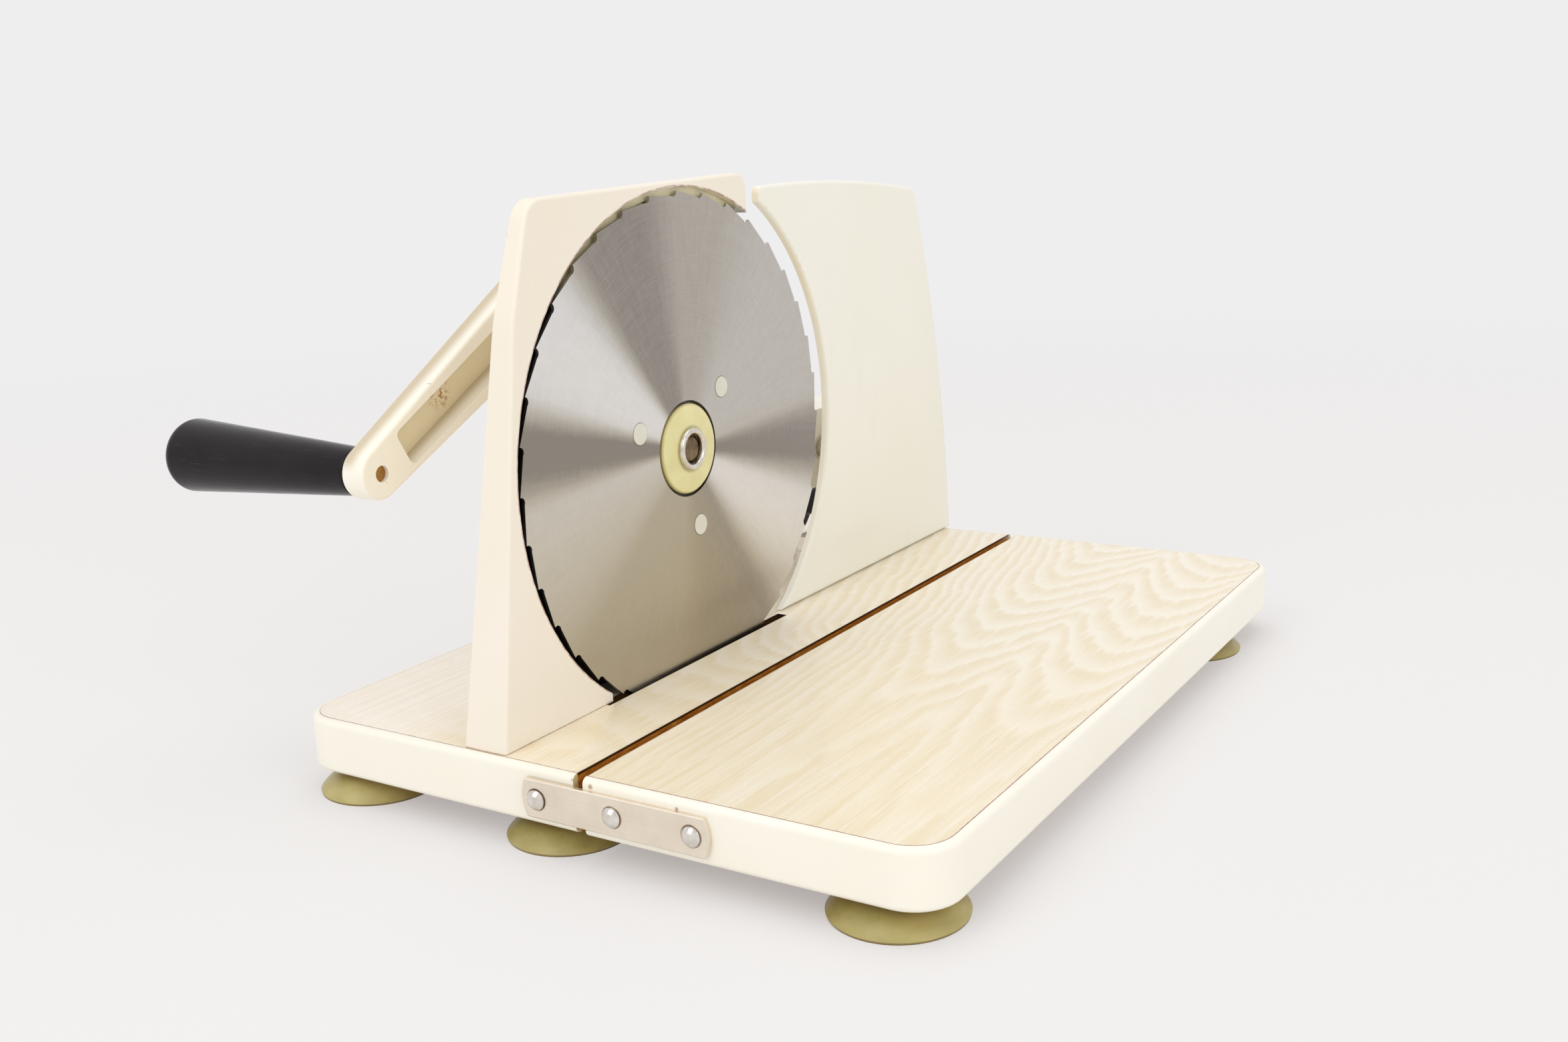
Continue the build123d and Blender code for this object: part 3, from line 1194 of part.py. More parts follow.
def adjuster_knob():
    """Fluted knob with a neck that bears on the post, hollow behind for its screw."""
    knob = rod(KNOB_BACK, -KNOB_FRONT, KNOB_RADIUS, SPINDLE_AT)
    rims = knob.edges().filter_by(GeomType.CIRCLE)
    knob = fillet(rims, KNOB_ROUND)
    flutes = []
    for k in range(KNOB_FLUTES):
        y, z = on_circle(KNOB_RADIUS + FLUTE_RADIUS - FLUTE_DEPTH, 360 * k / KNOB_FLUTES)
        at = (SPINDLE_AT[0] + y, SPINDLE_AT[1] + z)
        flutes.append(rod(KNOB_BACK - BEYOND, -KNOB_FRONT - FLUTE_START, FLUTE_RADIUS, at))
    knob = knob - flutes
    ring = tube(KNOB_BACK - BEYOND, SPINDLE_END, KNOB_HOLLOW_RADIUS, KNOB_BOSS_RADIUS, SPINDLE_AT)
    neck = rod(-KNOB_FRONT - KNOB_ROUND, NECK_FRONT, KNOB_NECK_RADIUS, SPINDLE_AT)
    head_room = rod(KNOB_BACK - BEYOND, SPINDLE_END, KNOB_SCREW_HEAD_RADIUS + SLACK, SPINDLE_AT)
    bore = rod(SPINDLE_END - BEYOND, 0, SPINDLE_RADIUS + SEATED, SPINDLE_AT)
    return knob + neck - ring - head_room - bore


def knob_screw():
    """Small screw that holds the knob on its spindle."""
    washer_seat = SPINDLE_END
    head = rod(washer_seat - KNOB_SCREW_HEAD, washer_seat, KNOB_SCREW_HEAD_RADIUS, SPINDLE_AT)
    return head + rod(washer_seat, washer_seat + KNOB_SCREW_LENGTH, KNOB_SCREW_RADIUS, SPINDLE_AT)


node("stop_plate", stop_plate())
node(
    "plate_guide_rods",
    union(rod(BEAM_BACK - ROD_TAIL, PLATE_INSIDE, ROD_RADIUS, (y, ROD_Z)) for y in ROD_YS),
)
node("spindle_nut", tube(NUT_BACK, NUT_FRONT, NUT_RADIUS, SPINDLE_RADIUS + RUNNING, SPINDLE_AT))
node("plate_bracket", plate_bracket())
node(
    "guide_rod_bushes",
    union(
        tube(BEAM_BACK, -BRACKET_FRONT, ROD_BUSH_RADIUS, ROD_RADIUS + RUNNING, (y, ROD_Z))
        for y in ROD_YS
    ),
)
node("adjuster_spindle", adjuster_spindle())
node(
    "spindle_clip",
    open_clip(
        CLIP_BACK, CLIP_FRONT, SPINDLE_CLIP_RADIUS, SPINDLE_RADIUS - SPINDLE_GROOVE + SEATED,
        SPINDLE_RADIUS, SPINDLE_AT,
    ),
)
node("adjuster_knob", adjuster_knob())
node("knob_screw", knob_screw())

for name, shape in NODES.items():
    export_step(shape, f"parts/{name}.step")
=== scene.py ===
from math import cos, pi, radians, sin

import bpy
from mathutils import Matrix, Vector


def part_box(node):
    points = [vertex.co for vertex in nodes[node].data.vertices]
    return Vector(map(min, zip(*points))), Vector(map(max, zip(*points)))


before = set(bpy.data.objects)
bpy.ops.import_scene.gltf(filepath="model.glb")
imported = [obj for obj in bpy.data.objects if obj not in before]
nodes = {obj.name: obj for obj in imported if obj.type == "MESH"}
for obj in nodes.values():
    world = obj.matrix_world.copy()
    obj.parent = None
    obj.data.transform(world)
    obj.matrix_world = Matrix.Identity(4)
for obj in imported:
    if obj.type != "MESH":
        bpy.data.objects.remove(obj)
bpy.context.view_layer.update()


# ---------------------------------------------------------------- places, in millimetres
def box_mm(name):
    """Lowest and highest corner of a node."""
    low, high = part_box(name)
    return low * 1000.0, high * 1000.0


def middle_mm(name):
    low, high = box_mm(name)
    return (low + high) / 2


BOARD_BOTTOM = box_mm("feed_board_edge_band")[0].z
BOARD_TOP = box_mm("feed_board_edge_band")[1].z
BLADE_AT = (middle_mm("blade").y, middle_mm("blade").z)
HUB_RADIUS = (box_mm("hub_disc")[1].y - box_mm("hub_disc")[0].y) / 2
POCKET_RADIUS = 96.6
CASE_FLOOR = -18.0
PEG_ANGLES = (40.0, 160.0, 280.0)
PEG_CIRCLE = 31.0
PEG_RADIUS = 4.0
STRIP_Z = middle_mm("front_hinge_strip").z
STRIP_SCREWS = (17.3, 47.8, 78.2)
SLOT_MIDDLE, SLOT_HALF = -0.1, 2.1
SLOT_NEAR_Y, SLOT_FAR_Y = -114.5, 7.0
LAMINATE_CORNER = 13.5
ARM_FRONT = -60.0


# ---------------------------------------------------------------- material kit
def linear(red, green, blue):
    """Colour written as 0 to 255 display values, turned to the linear values of a shader."""
    def one(value):
        value /= 255
        return value / 12.92 if value <= 0.04045 else ((value + 0.055) / 1.055) ** 2.4

    return (one(red), one(green), one(blue), 1.0)


class Finish:
    """A procedural material; positions in its nodes are in millimetres of the part's frame."""

    def __init__(self, name, **sockets):
        self.material = bpy.data.materials.new(name)
        self.material.use_nodes = True
        self.tree = self.material.node_tree
        self.shader = self.tree.nodes["Principled BSDF"]
        self.set(**sockets)
        place = self.add("ShaderNodeTexCoord").outputs["Object"]
        self.place = self.vector("SCALE", place, scale=1000.0)
        split = self.add("ShaderNodeSeparateXYZ")
        self.plug(self.place, split.inputs[0])
        self.x, self.y, self.z = split.outputs

    def add(self, kind, **settings):
        made = self.tree.nodes.new(kind)
        for key, value in settings.items():
            setattr(made, key, value)
        return made

    def plug(self, value, socket):
        if isinstance(value, bpy.types.NodeSocket):
            self.tree.links.new(value, socket)
        else:
            socket.default_value = value

    def set(self, **sockets):
        for key, value in sockets.items():
            self.plug(value, self.shader.inputs[key.replace("_", " ")])

    def math(self, operation, a, b=0.0, c=0.0, clamp=False):
        made = self.add("ShaderNodeMath", operation=operation, use_clamp=clamp)
        for value, socket in zip((a, b, c), made.inputs):
            self.plug(value, socket)
        return made.outputs[0]

    def plus(self, *values):
        total = values[0]
        for value in values[1:]:
            total = self.math("ADD", total, value)
        return total

    def minus(self, a, b):
        return self.math("SUBTRACT", a, b)

    def times(self, *values):
        total = values[0]
        for value in values[1:]:
            total = self.math("MULTIPLY", total, value)
        return total

    def largest(self, *values):
        total = values[0]
        for value in values[1:]:
            total = self.math("MAXIMUM", total, value)
        return total

    def vector(self, operation, a, b=(0, 0, 0), scale=1.0):
        made = self.add("ShaderNodeVectorMath", operation=operation)
        self.plug(a, made.inputs[0])
        if operation == "SCALE":
            self.plug(scale, made.inputs["Scale"])
        else:
            self.plug(b, made.inputs[1])
        return made.outputs["Value" if operation in ("LENGTH", "DISTANCE", "DOT_PRODUCT") else "Vector"]

    def combine(self, x, y, z=0.0):
        made = self.add("ShaderNodeCombineXYZ")
        for value, socket in zip((x, y, z), made.inputs):
            self.plug(value, socket)
        return made.outputs[0]

    def stretched(self, sx, sy, sz):
        """The place, scaled apart along the three axes, in cycles per millimetre."""
        return self.vector("MULTIPLY", self.place, (sx, sy, sz))

    def noise(self, vector, scale=1.0, detail=2.0, roughness=0.5):
        made = self.add("ShaderNodeTexNoise")
        self.plug(vector, made.inputs["Vector"])
        for key, value in (("Scale", scale), ("Detail", detail), ("Roughness", roughness)):
            made.inputs[key].default_value = value
        return made.outputs["Fac"]

    def around(self, value):
        """A noise value moved to lie about zero, from -1 to 1."""
        return self.math("MULTIPLY_ADD", value, 2.0, -1.0)

    def span(self, value, low, high, to_low=0.0, to_high=1.0, smooth=True):
        made = self.add("ShaderNodeMapRange", interpolation_type="SMOOTHSTEP" if smooth else "LINEAR")
        for key, item in zip(range(5), (value, low, high, to_low, to_high)):
            self.plug(item, made.inputs[key])
        return made.outputs[0]

    def curve(self, value, low, high, points):
        """Value through a curve given as (input, output) pairs with outputs from 0 to 1."""
        made = self.add("ShaderNodeFloatCurve")
        line = made.mapping.curves[0]
        spots = [((x - low) / (high - low), y) for x, y in points]
        for _ in range(len(spots) - 2):
            line.points.new(0.5, 0.5)
        for point, spot in zip(line.points, spots):
            point.location = spot
        made.mapping.update()
        self.plug(self.span(value, low, high, smooth=False), made.inputs["Value"])
        return made.outputs[0]

    def mix(self, factor, a, b):
        made = self.add("ShaderNodeMix", data_type="RGBA")
        for key, value in zip((0, 6, 7), (factor, a, b)):
            self.plug(value, made.inputs[key])
        return made.outputs[2]

    def bands(self, value, *stops):
        """Colours along a value; a stop is (position, colour)."""
        made = self.add("ShaderNodeValToRGB")
        ramp = made.color_ramp
        while len(ramp.elements) < len(stops):
            ramp.elements.new(0.5)
        for element, (spot, colour) in zip(ramp.elements, stops):
            element.position = spot
            element.color = colour
        self.plug(value, made.inputs[0])
        return made.outputs[0]

    def radius(self, a, b, at):
        """Distance in one plane from a point, in millimetres."""
        flat = self.combine(self.minus(a, at[0]), self.minus(b, at[1]))
        return self.vector("LENGTH", flat)

    def heading(self):
        """Unit vector (0, cosine, sine) from the blade's axis to the place."""
        flat = self.combine(0.0, self.minus(self.y, BLADE_AT[0]), self.minus(self.z, BLADE_AT[1]))
        return self.vector("NORMALIZE", flat)

    def fan(self, heading, centre, half_width):
        """One at an angle about the blade's axis, falling to nothing half_width degrees away."""
        ray = (0.0, cos(radians(centre)), sin(radians(centre)))
        return self.span(self.vector("DOT_PRODUCT", heading, ray), cos(radians(half_width)), 1.0)

    def bump(self, height, distance, strength=1.0):
        made = self.add("ShaderNodeBump")
        made.inputs["Strength"].default_value = strength
        made.inputs["Distance"].default_value = distance / 1000.0
        self.plug(height, made.inputs["Height"])
        self.tree.links.new(made.outputs[0], self.shader.inputs["Normal"])

    def facing(self):
        """Components of the surface's direction in the part's frame."""
        split = self.add("ShaderNodeSeparateXYZ")
        self.plug(self.add("ShaderNodeTexCoord").outputs["Normal"], split.inputs[0])
        return split.outputs

    def paint(self, *names):
        for name in names:
            data = nodes[name].data
            data.materials.clear()
            data.materials.append(self.material)


# ---------------------------------------------------------------- laminate
PALE = linear(247, 240, 225)
MILK = linear(243, 233, 212)
TAN = linear(237, 223, 194)
BROWN = linear(222, 203, 166)


def laminate_outline(kit, name, side):
    """Distance inward from the laminate's outline; side is the joint face at +1 or -1."""
    low, high = box_mm(name)
    right, left, half_depth = high.x, low.x, (high.y - low.y) / 2
    joint = kit.minus(kit.x, left) if side > 0 else kit.minus(right, kit.x)
    middle = (right + left) / 2 - side * 100.0
    half = (right - left) / 2 + 100.0
    across = kit.minus(kit.math("ABSOLUTE", kit.minus(kit.x, middle)), half - LAMINATE_CORNER)
    along = kit.minus(kit.math("ABSOLUTE", kit.y), half_depth - LAMINATE_CORNER)
    outside = kit.vector(
        "LENGTH", kit.combine(kit.math("MAXIMUM", across, 0.0), kit.math("MAXIMUM", along, 0.0))
    )
    inside = kit.math("MINIMUM", kit.math("MAXIMUM", across, along), 0.0)
    return kit.math("MINIMUM", kit.minus(LAMINATE_CORNER, kit.plus(outside, inside)), joint)


def laminate_finish(kit, name, field, ring, side):
    """Decor print: soft rings with a sharp side, fibres along Y, a thin line at the band."""
    fibre = kit.around(kit.noise(kit.stretched(1.7, 0.05, 1.0), detail=4.0, roughness=0.65))
    feather = kit.around(kit.noise(kit.stretched(0.45, 0.035, 1.0), detail=4.0, roughness=0.65))
    patch = kit.around(kit.noise(kit.stretched(0.03, 0.012, 1.0), detail=2.0))
    warped = kit.plus(field, kit.times(fibre, 2.2), kit.times(feather, 7.0), kit.times(patch, 13.0))
    saw = kit.math("FRACT", kit.times(warped, 1.0 / ring))
    base = kit.bands(
        saw, (0.0, PALE), (0.26, MILK), (0.58, TAN), (0.78, TAN), (0.90, MILK), (0.98, PALE)
    )
    fine = kit.math("FRACT", kit.times(kit.plus(warped, kit.times(patch, 6.0)), 3.7 / ring))
    line = kit.times(kit.span(fine, 0.55, 0.95), kit.span(patch, -0.3, 0.6, 0.0, 0.30))
    base = kit.mix(line, base, TAN)
    base = kit.mix(kit.span(feather, -0.05, 0.4, 0.0, 0.65), base, PALE)
    near = kit.span(kit.y, -170.0, 60.0, 0.5, 0.0)
    base = kit.mix(near, base, linear(238, 221, 184))
    streak = kit.around(kit.noise(kit.stretched(0.9, 0.022, 1.0), detail=5.0, roughness=0.7))
    base = kit.mix(kit.times(kit.span(streak, -0.05, 0.30), kit.plus(near, 0.22)), base, PALE)
    base = kit.mix(kit.span(fibre, 0.05, 0.45, 0.0, 0.40), base, PALE)
    pore = kit.noise(kit.stretched(3.2, 0.13, 1.0), detail=2.0, roughness=0.7)
    base = kit.mix(kit.span(pore, 0.56, 0.72, 0.0, 0.22), base, BROWN)
    left = kit.span(kit.x, -60.0, -10.0, 0.75, 0.0)
    thin = kit.noise(kit.stretched(1.1, 0.012, 1.0), detail=3.0, roughness=0.55)
    pink = kit.bands(thin, (0.42, linear(254, 248, 240)), (0.60, linear(244, 235, 222)))
    base = kit.mix(left, base, pink)
    outline = laminate_outline(kit, name, side)
    wobble = kit.noise(kit.stretched(0.35, 0.35, 1.0), detail=2.0)
    edge = kit.span(kit.math("MULTIPLY_ADD", wobble, -0.35, outline), 0.0, 0.28, 1.0, 0.0)
    strong = kit.largest(kit.span(kit.y, -168.5, -160.0, 1.0, 0.35), kit.span(kit.x, 140.0, 157.0))
    base = kit.mix(kit.times(edge, strong), base, linear(128, 66, 44))
    # painted shade in the blade's slot, along the laminate's cut edges
    beside = kit.math("ABSOLUTE", kit.minus(kit.x, SLOT_MIDDLE))
    slot = kit.times(
        kit.span(beside, SLOT_HALF, SLOT_HALF + 0.4, 0.8, 0.0),
        kit.span(kit.y, SLOT_NEAR_Y, SLOT_NEAR_Y + 1.0),
        kit.span(kit.y, SLOT_FAR_Y - 1.0, SLOT_FAR_Y, 1.0, 0.0),
    )
    base = kit.mix(slot, base, linear(70, 46, 26))
    top = kit.span(kit.facing()[2], 0.4, 0.9)
    base = kit.mix(top, linear(60, 38, 22), base)
    kit.set(Base_Color=base, Specular_IOR_Level=0.5)
    rub = kit.noise(kit.stretched(0.05, 0.05, 1.0), detail=4.0)
    kit.set(Roughness=kit.span(rub, 0.3, 0.7, 0.22, 0.36))
    kit.bump(kit.plus(pore, kit.times(fibre, 0.5)), 0.004, 0.3)
    kit.paint(name)


def feed_laminate():
    """Cathedral rings that open towards the near end of the feed board."""
    kit = Finish("laminate_feed_board")
    wave = kit.around(kit.noise(kit.stretched(0.03, 0.018, 1.0), detail=2.0))
    across = kit.plus(kit.x, kit.times(wave, 5.0))
    rise = kit.curve(across, 30.0, 165.0, [
        (30.0, 1.0), (45.0, 0.68), (55.0, 0.44), (65.0, 0.23), (76.0, 0.07), (86.0, 0.0),
        (96.0, 0.055), (105.0, 0.14), (112.5, 0.215), (120.0, 0.135), (130.0, 0.045),
        (143.0, 0.0), (151.0, 0.05), (158.0, 0.17), (165.0, 0.34),
    ])
    depth = kit.curve(kit.y, -175.0, 175.0, [
        (-175.0, 0.0), (-130.0, 0.025), (-105.0, 0.045), (-80.0, 0.08), (-30.0, 0.19),
        (20.0, 0.36), (80.0, 0.59), (175.0, 1.0),
    ])
    field = kit.minus(kit.times(depth, 250.0), kit.times(rise, 200.0))
    laminate_finish(kit, "feed_board_laminate", field, 23.0, 1)


def machine_laminate():
    """Slanting rings right of the blade, nearly straight fine lines left of it."""
    kit = Finish("laminate_machine_board")
    wave = kit.around(kit.noise(kit.stretched(0.035, 0.02, 1.0), detail=2.0))
    slant = kit.span(kit.y, -70.0, 10.0, 0.35, 3.2)
    field = kit.plus(kit.y, kit.times(kit.x, slant), kit.times(wave, 16.0))
    laminate_finish(kit, "machine_board_laminate", field, 21.0, -1)


feed_laminate()
machine_laminate()


# ---------------------------------------------------------------- boards
JOINT_FACE_X = box_mm("machine_board_core")[1].x
# brown specks above the front strip: place, radius
BAND_STAINS = (
    ((38.6, -171.0, 27.6), 1.3),
    ((72.0, -171.0, 26.8), 0.9),
    ((31.0, -171.0, 28.6), 1.1),
)


def core_finish():
    """Varnished pressed board, with painted shade inside the blade's slot."""
    kit = Finish("pressed_board_core", Roughness=0.32)
    chips = kit.noise(kit.stretched(0.18, 0.18, 1.1), detail=4.0, roughness=0.65)
    base = kit.bands(
        chips, (0.30, linear(150, 84, 18)), (0.5, linear(188, 116, 34)), (0.72, linear(212, 148, 62))
    )
    under = kit.span(kit.facing()[2], -0.9, -0.5, 1.0, 0.0)
    base = kit.mix(kit.times(under, 0.6), base, linear(190, 160, 110))
    # painted shade inside the blade's slot
    slot = kit.span(kit.math("ABSOLUTE", kit.minus(kit.x, SLOT_MIDDLE)), 3.0, 4.0, 1.0, 0.0)
    base = kit.mix(kit.times(slot, 0.9), base, linear(44, 28, 16))
    kit.set(Base_Color=base, Coat_Weight=0.25, Coat_Roughness=0.2)
    kit.bump(chips, 0.15, 0.4)
    kit.paint("machine_board_core", "feed_board_core")


def band_finish():
    """Ivory edge band, browned where it was cut at the joint and along its foot."""
    kit = Finish("edge_band_plastic")
    cloud = kit.noise(kit.stretched(0.016, 0.016, 0.03), detail=3.0)
    base = kit.bands(cloud, (0.3, linear(251, 247, 236)), (0.7, linear(248, 243, 229)))
    low = kit.span(kit.z, BOARD_BOTTOM, BOARD_BOTTOM + 0.8, 0.45, 0.0)
    base = kit.mix(low, base, linear(206, 186, 140))
    cut = kit.times(
        kit.span(kit.x, JOINT_FACE_X - 0.6, JOINT_FACE_X - 0.2),
        kit.span(kit.x, JOINT_FACE_X + 1.0, JOINT_FACE_X + 2.0, 1.0, 0.0),
        kit.span(kit.facing()[0], 0.6, 0.9),
    )
    base = kit.mix(kit.times(cut, 0.85), base, linear(206, 180, 118))
    for at, size in BAND_STAINS:
        spot = kit.vector("DISTANCE", kit.place, at)
        base = kit.mix(kit.span(spot, 0.3, size, 0.7, 0.0), base, linear(150, 104, 60))
    scuff = kit.noise(kit.stretched(0.5, 0.5, 0.9), detail=5.0, roughness=0.7)
    kit.set(Base_Color=base, Roughness=kit.span(scuff, 0.3, 0.7, 0.28, 0.40))
    kit.bump(kit.noise(kit.place, 0.5, 4.0), 0.02, 0.3)
    kit.paint("machine_board_edge_band", "feed_board_edge_band")


def rubber_finish():
    """Yellowed translucent rubber, brown at the lip and in the shade of the board."""
    kit = Finish("cup_rubber")
    cloud = kit.noise(kit.stretched(0.05, 0.05, 0.12), detail=4.0)
    base = kit.bands(
        cloud, (0.3, linear(156, 144, 84)), (0.55, linear(178, 165, 102)), (0.75, linear(196, 183, 122))
    )
    base = kit.mix(kit.span(kit.z, 5.0, BOARD_BOTTOM, 0.0, 0.6), base, linear(112, 100, 56))
    base = kit.mix(kit.span(kit.z, 0.3, 0.9, 0.7, 0.0), base, linear(104, 74, 44))
    kit.set(Base_Color=base, Roughness=kit.span(cloud, 0.3, 0.7, 0.24, 0.42))
    kit.set(Subsurface_Weight=0.15, Subsurface_Scale=0.002)
    kit.bump(kit.noise(kit.place, 0.7, 3.0), 0.04, 0.4)
    kit.paint("machine_board_suction_cups", "feed_board_suction_cups")


def strip_finish():
    """Satin nickel with drag marks along X and brown rings round the screws."""
    kit = Finish("strip_nickel", Metallic=1.0, Anisotropic=0.35)
    drag = kit.noise(kit.stretched(0.02, 0.5, 2.6), detail=4.0, roughness=0.65)
    cloud = kit.noise(kit.place, 0.09, 4.0, 0.6)
    base = kit.bands(cloud, (0.3, linear(242, 232, 216)), (0.7, linear(233, 221, 204)))
    base = kit.mix(kit.span(drag, 0.55, 0.75, 0.0, 0.2), base, linear(196, 180, 160))
    ring = 0.0
    for x in STRIP_SCREWS:
        away = kit.radius(kit.x, kit.z, (x, STRIP_Z))
        shade = kit.span(kit.minus(away, kit.times(cloud, 0.9)), 2.9, 3.7, 1.0, 0.0)
        ring = kit.math("MAXIMUM", ring, shade)
    base = kit.mix(kit.times(ring, 0.9), base, linear(104, 66, 36))
    rough = kit.plus(kit.span(drag, 0.3, 0.7, 0.28, 0.42), kit.times(ring, 0.3))
    kit.set(Base_Color=base, Roughness=rough)
    kit.bump(drag, 0.01, 0.4)
    kit.paint("front_hinge_strip", "rear_hinge_strip")


def steel_finish(name, dark, light, low, high, *painted):
    """Plain machined steel with fine handling marks."""
    kit = Finish(name, Metallic=1.0)
    cloud = kit.noise(kit.place, 0.35, 5.0, 0.65)
    kit.set(Base_Color=kit.bands(cloud, (0.3, dark), (0.7, light)))
    kit.set(Roughness=kit.span(cloud, 0.3, 0.7, low, high))
    kit.bump(kit.noise(kit.place, 2.5, 3.0), 0.006, 0.5)
    kit.paint(*painted)


core_finish()
band_finish()
rubber_finish()
strip_finish()
steel_finish(
    "screw_steel", linear(206, 200, 190), linear(238, 234, 228), 0.14, 0.24,
    "hinge_pivot_screws", "hinge_fixing_screws",
)
steel_finish(
    "plated_steel", linear(178, 172, 160), linear(216, 210, 198), 0.22, 0.36,
    "machine_board_cup_screws", "feed_board_cup_screws", "housing_cover_screws",
    "housing_base_screws", "bracket_foot_screws", "knob_screw", "axle_washer", "axle_nut",
    "crank_shaft", "crank_arm_washer", "crank_arm_screw",
    "plate_guide_rods", "adjuster_spindle", "spindle_clip",
)
steel_finish(
    "hub_steel", linear(206, 200, 188), linear(236, 231, 224), 0.12, 0.24, "hub_sleeve",
)
# painted shade: the axle and its clip are dark brown, for the axle's end deep inside the hub sleeve
steel_finish(
    "shaded_axle_steel", linear(84, 66, 46), linear(150, 130, 104), 0.26, 0.40, "blade_axle", "axle_clip",
)
steel_finish(
    "bearing_bronze", linear(150, 108, 58), linear(190, 146, 84), 0.28, 0.42,
    "crank_bush", "spindle_nut", "handle_pin",
)


# ---------------------------------------------------------------- housing, stop plate, bracket
def pocket_shade(kit, base):
    """Inside of the blade's pocket: painted shade, near black, with painted pale yellow light under its
    crown.
    """
    away = kit.radius(kit.y, kit.z, BLADE_AT)
    outward = kit.vector("DOT_PRODUCT", kit.combine(*kit.facing()), kit.heading())
    # mask of the pocket's inside surfaces that get the painted shade
    inside = kit.times(
        kit.span(away, POCKET_RADIUS + 0.1, POCKET_RADIUS + 0.6, 1.0, 0.0),
        kit.span(kit.x, -0.2, 0.3, 1.0, 0.0),
        kit.span(kit.x, CASE_FLOOR - 1.5, CASE_FLOOR - 0.5),
        kit.span(kit.facing()[0], -0.3, -0.1),
        kit.span(outward, 0.25, 0.45, 1.0, 0.0),
    )
    # painted pale yellow light on the pocket's wall under its crown
    crown = kit.math("MULTIPLY", kit.fan(kit.heading(), 98.0, 42.0), 2.2, clamp=True)
    dark = kit.mix(crown, linear(40, 34, 33), linear(240, 232, 196))
    return kit.mix(kit.times(inside, 0.96), base, dark)


def moulded_finish(name, light, dark, low, high, *painted, housing=False, plate=False):
    """Cream moulded plastic: slow yellowing, faint flow marks, dirt where it meets the board."""
    kit = Finish(name)
    cloud = kit.noise(kit.stretched(0.008, 0.010, 0.010), detail=3.0)
    base = kit.bands(cloud, (0.3, light), (0.7, dark))
    smear = kit.noise(kit.stretched(0.05, 0.04, 0.012), detail=4.0, roughness=0.6)
    base = kit.mix(kit.span(smear, 0.58, 0.78, 0.0, 0.08), base, linear(222, 208, 170))
    wobble = kit.noise(kit.stretched(0.3, 0.3, 0.3), detail=3.0)
    height = kit.minus(kit.z, kit.times(wobble, 0.4))
    dirt = kit.span(height, BOARD_TOP - 0.1, BOARD_TOP + 0.3, 0.75, 0.0)
    base = kit.mix(dirt, base, linear(150, 104, 66))
    if housing:
        away = kit.radius(kit.y, kit.z, BLADE_AT)
        # painted shade: a thin reddish-brown line along the cut edge of the blade's pocket
        rim = kit.math("COMPARE", away, POCKET_RADIUS + 0.2, 0.26)
        rim = kit.times(rim, kit.span(kit.x, -2.5, -1.5))
        rim = kit.times(rim, kit.span(wobble, 0.35, 0.6, 0.2, 0.7))
        base = kit.mix(rim, base, linear(150, 92, 68))
        base = pocket_shade(kit, base)
    if plate:
        # painted shade on the near edge wall of the stop plate, stronger towards its top
        near_side_shade = kit.span(kit.facing()[1], -0.8, -0.3, 0.55, 0.0)
        edge = kit.times(near_side_shade, kit.span(kit.z, 60.0, 200.0, 0.3, 1.0))
        base = kit.mix(edge, base, linear(228, 212, 172))
    kit.set(Base_Color=base, Roughness=kit.span(smear, 0.3, 0.7, low, high))
    kit.bump(kit.noise(kit.place, 0.12, 3.0), 0.05, 0.25)
    kit.paint(*painted)


moulded_finish(
    "housing_cream", linear(246, 238, 226), linear(243, 234, 217), 0.26, 0.38,
    "housing_front_shell", "housing_rear_cover", housing=True,
)
moulded_finish(
    "plate_cream", linear(244, 242, 232), linear(241, 238, 224), 0.16, 0.26, "stop_plate", plate=True,
)
moulded_finish(
    "bracket_cream", linear(252, 247, 236), linear(250, 243, 228), 0.28, 0.40, "plate_bracket",
)


def arm_finish():
    """Yellowed crank arm: browner front, brown recess with flecks and one rust stain."""
    kit = Finish("arm_plastic")
    cloud = kit.noise(kit.place, 0.02, 4.0)
    base = kit.bands(cloud, (0.3, linear(253, 249, 238)), (0.7, linear(249, 243, 227)))
    front = kit.span(kit.facing()[0], 0.5, 0.9)
    base = kit.mix(kit.times(front, 0.25), base, linear(244, 230, 198))
    deep = kit.span(kit.x, ARM_FRONT - 7.5, ARM_FRONT - 1.5, 1.0, 0.0)
    base = kit.mix(kit.times(deep, front, 0.7), base, linear(232, 216, 172))
    low_side = kit.times(deep, kit.span(kit.facing()[2], 0.1, 0.7))
    base = kit.mix(kit.times(low_side, 0.6), base, linear(176, 148, 92))
    fleck = kit.noise(kit.place, 0.55, 3.0, 0.7)
    base = kit.mix(kit.span(fleck, 0.70, 0.76, 0.0, 0.7), base, linear(126, 92, 50))
    rust = kit.vector("DISTANCE", kit.place, (-68.0, -113.0, 139.0))
    rust = kit.times(kit.span(rust, 2.0, 8.0, 1.0, 0.0), kit.span(fleck, 0.50, 0.62))
    base = kit.mix(kit.times(rust, 0.85), base, linear(168, 98, 34))
    kit.set(Base_Color=base, Roughness=kit.span(cloud, 0.3, 0.7, 0.32, 0.46))
    kit.bump(kit.noise(kit.place, 0.5, 4.0), 0.04, 0.35)
    kit.paint("crank_arm")


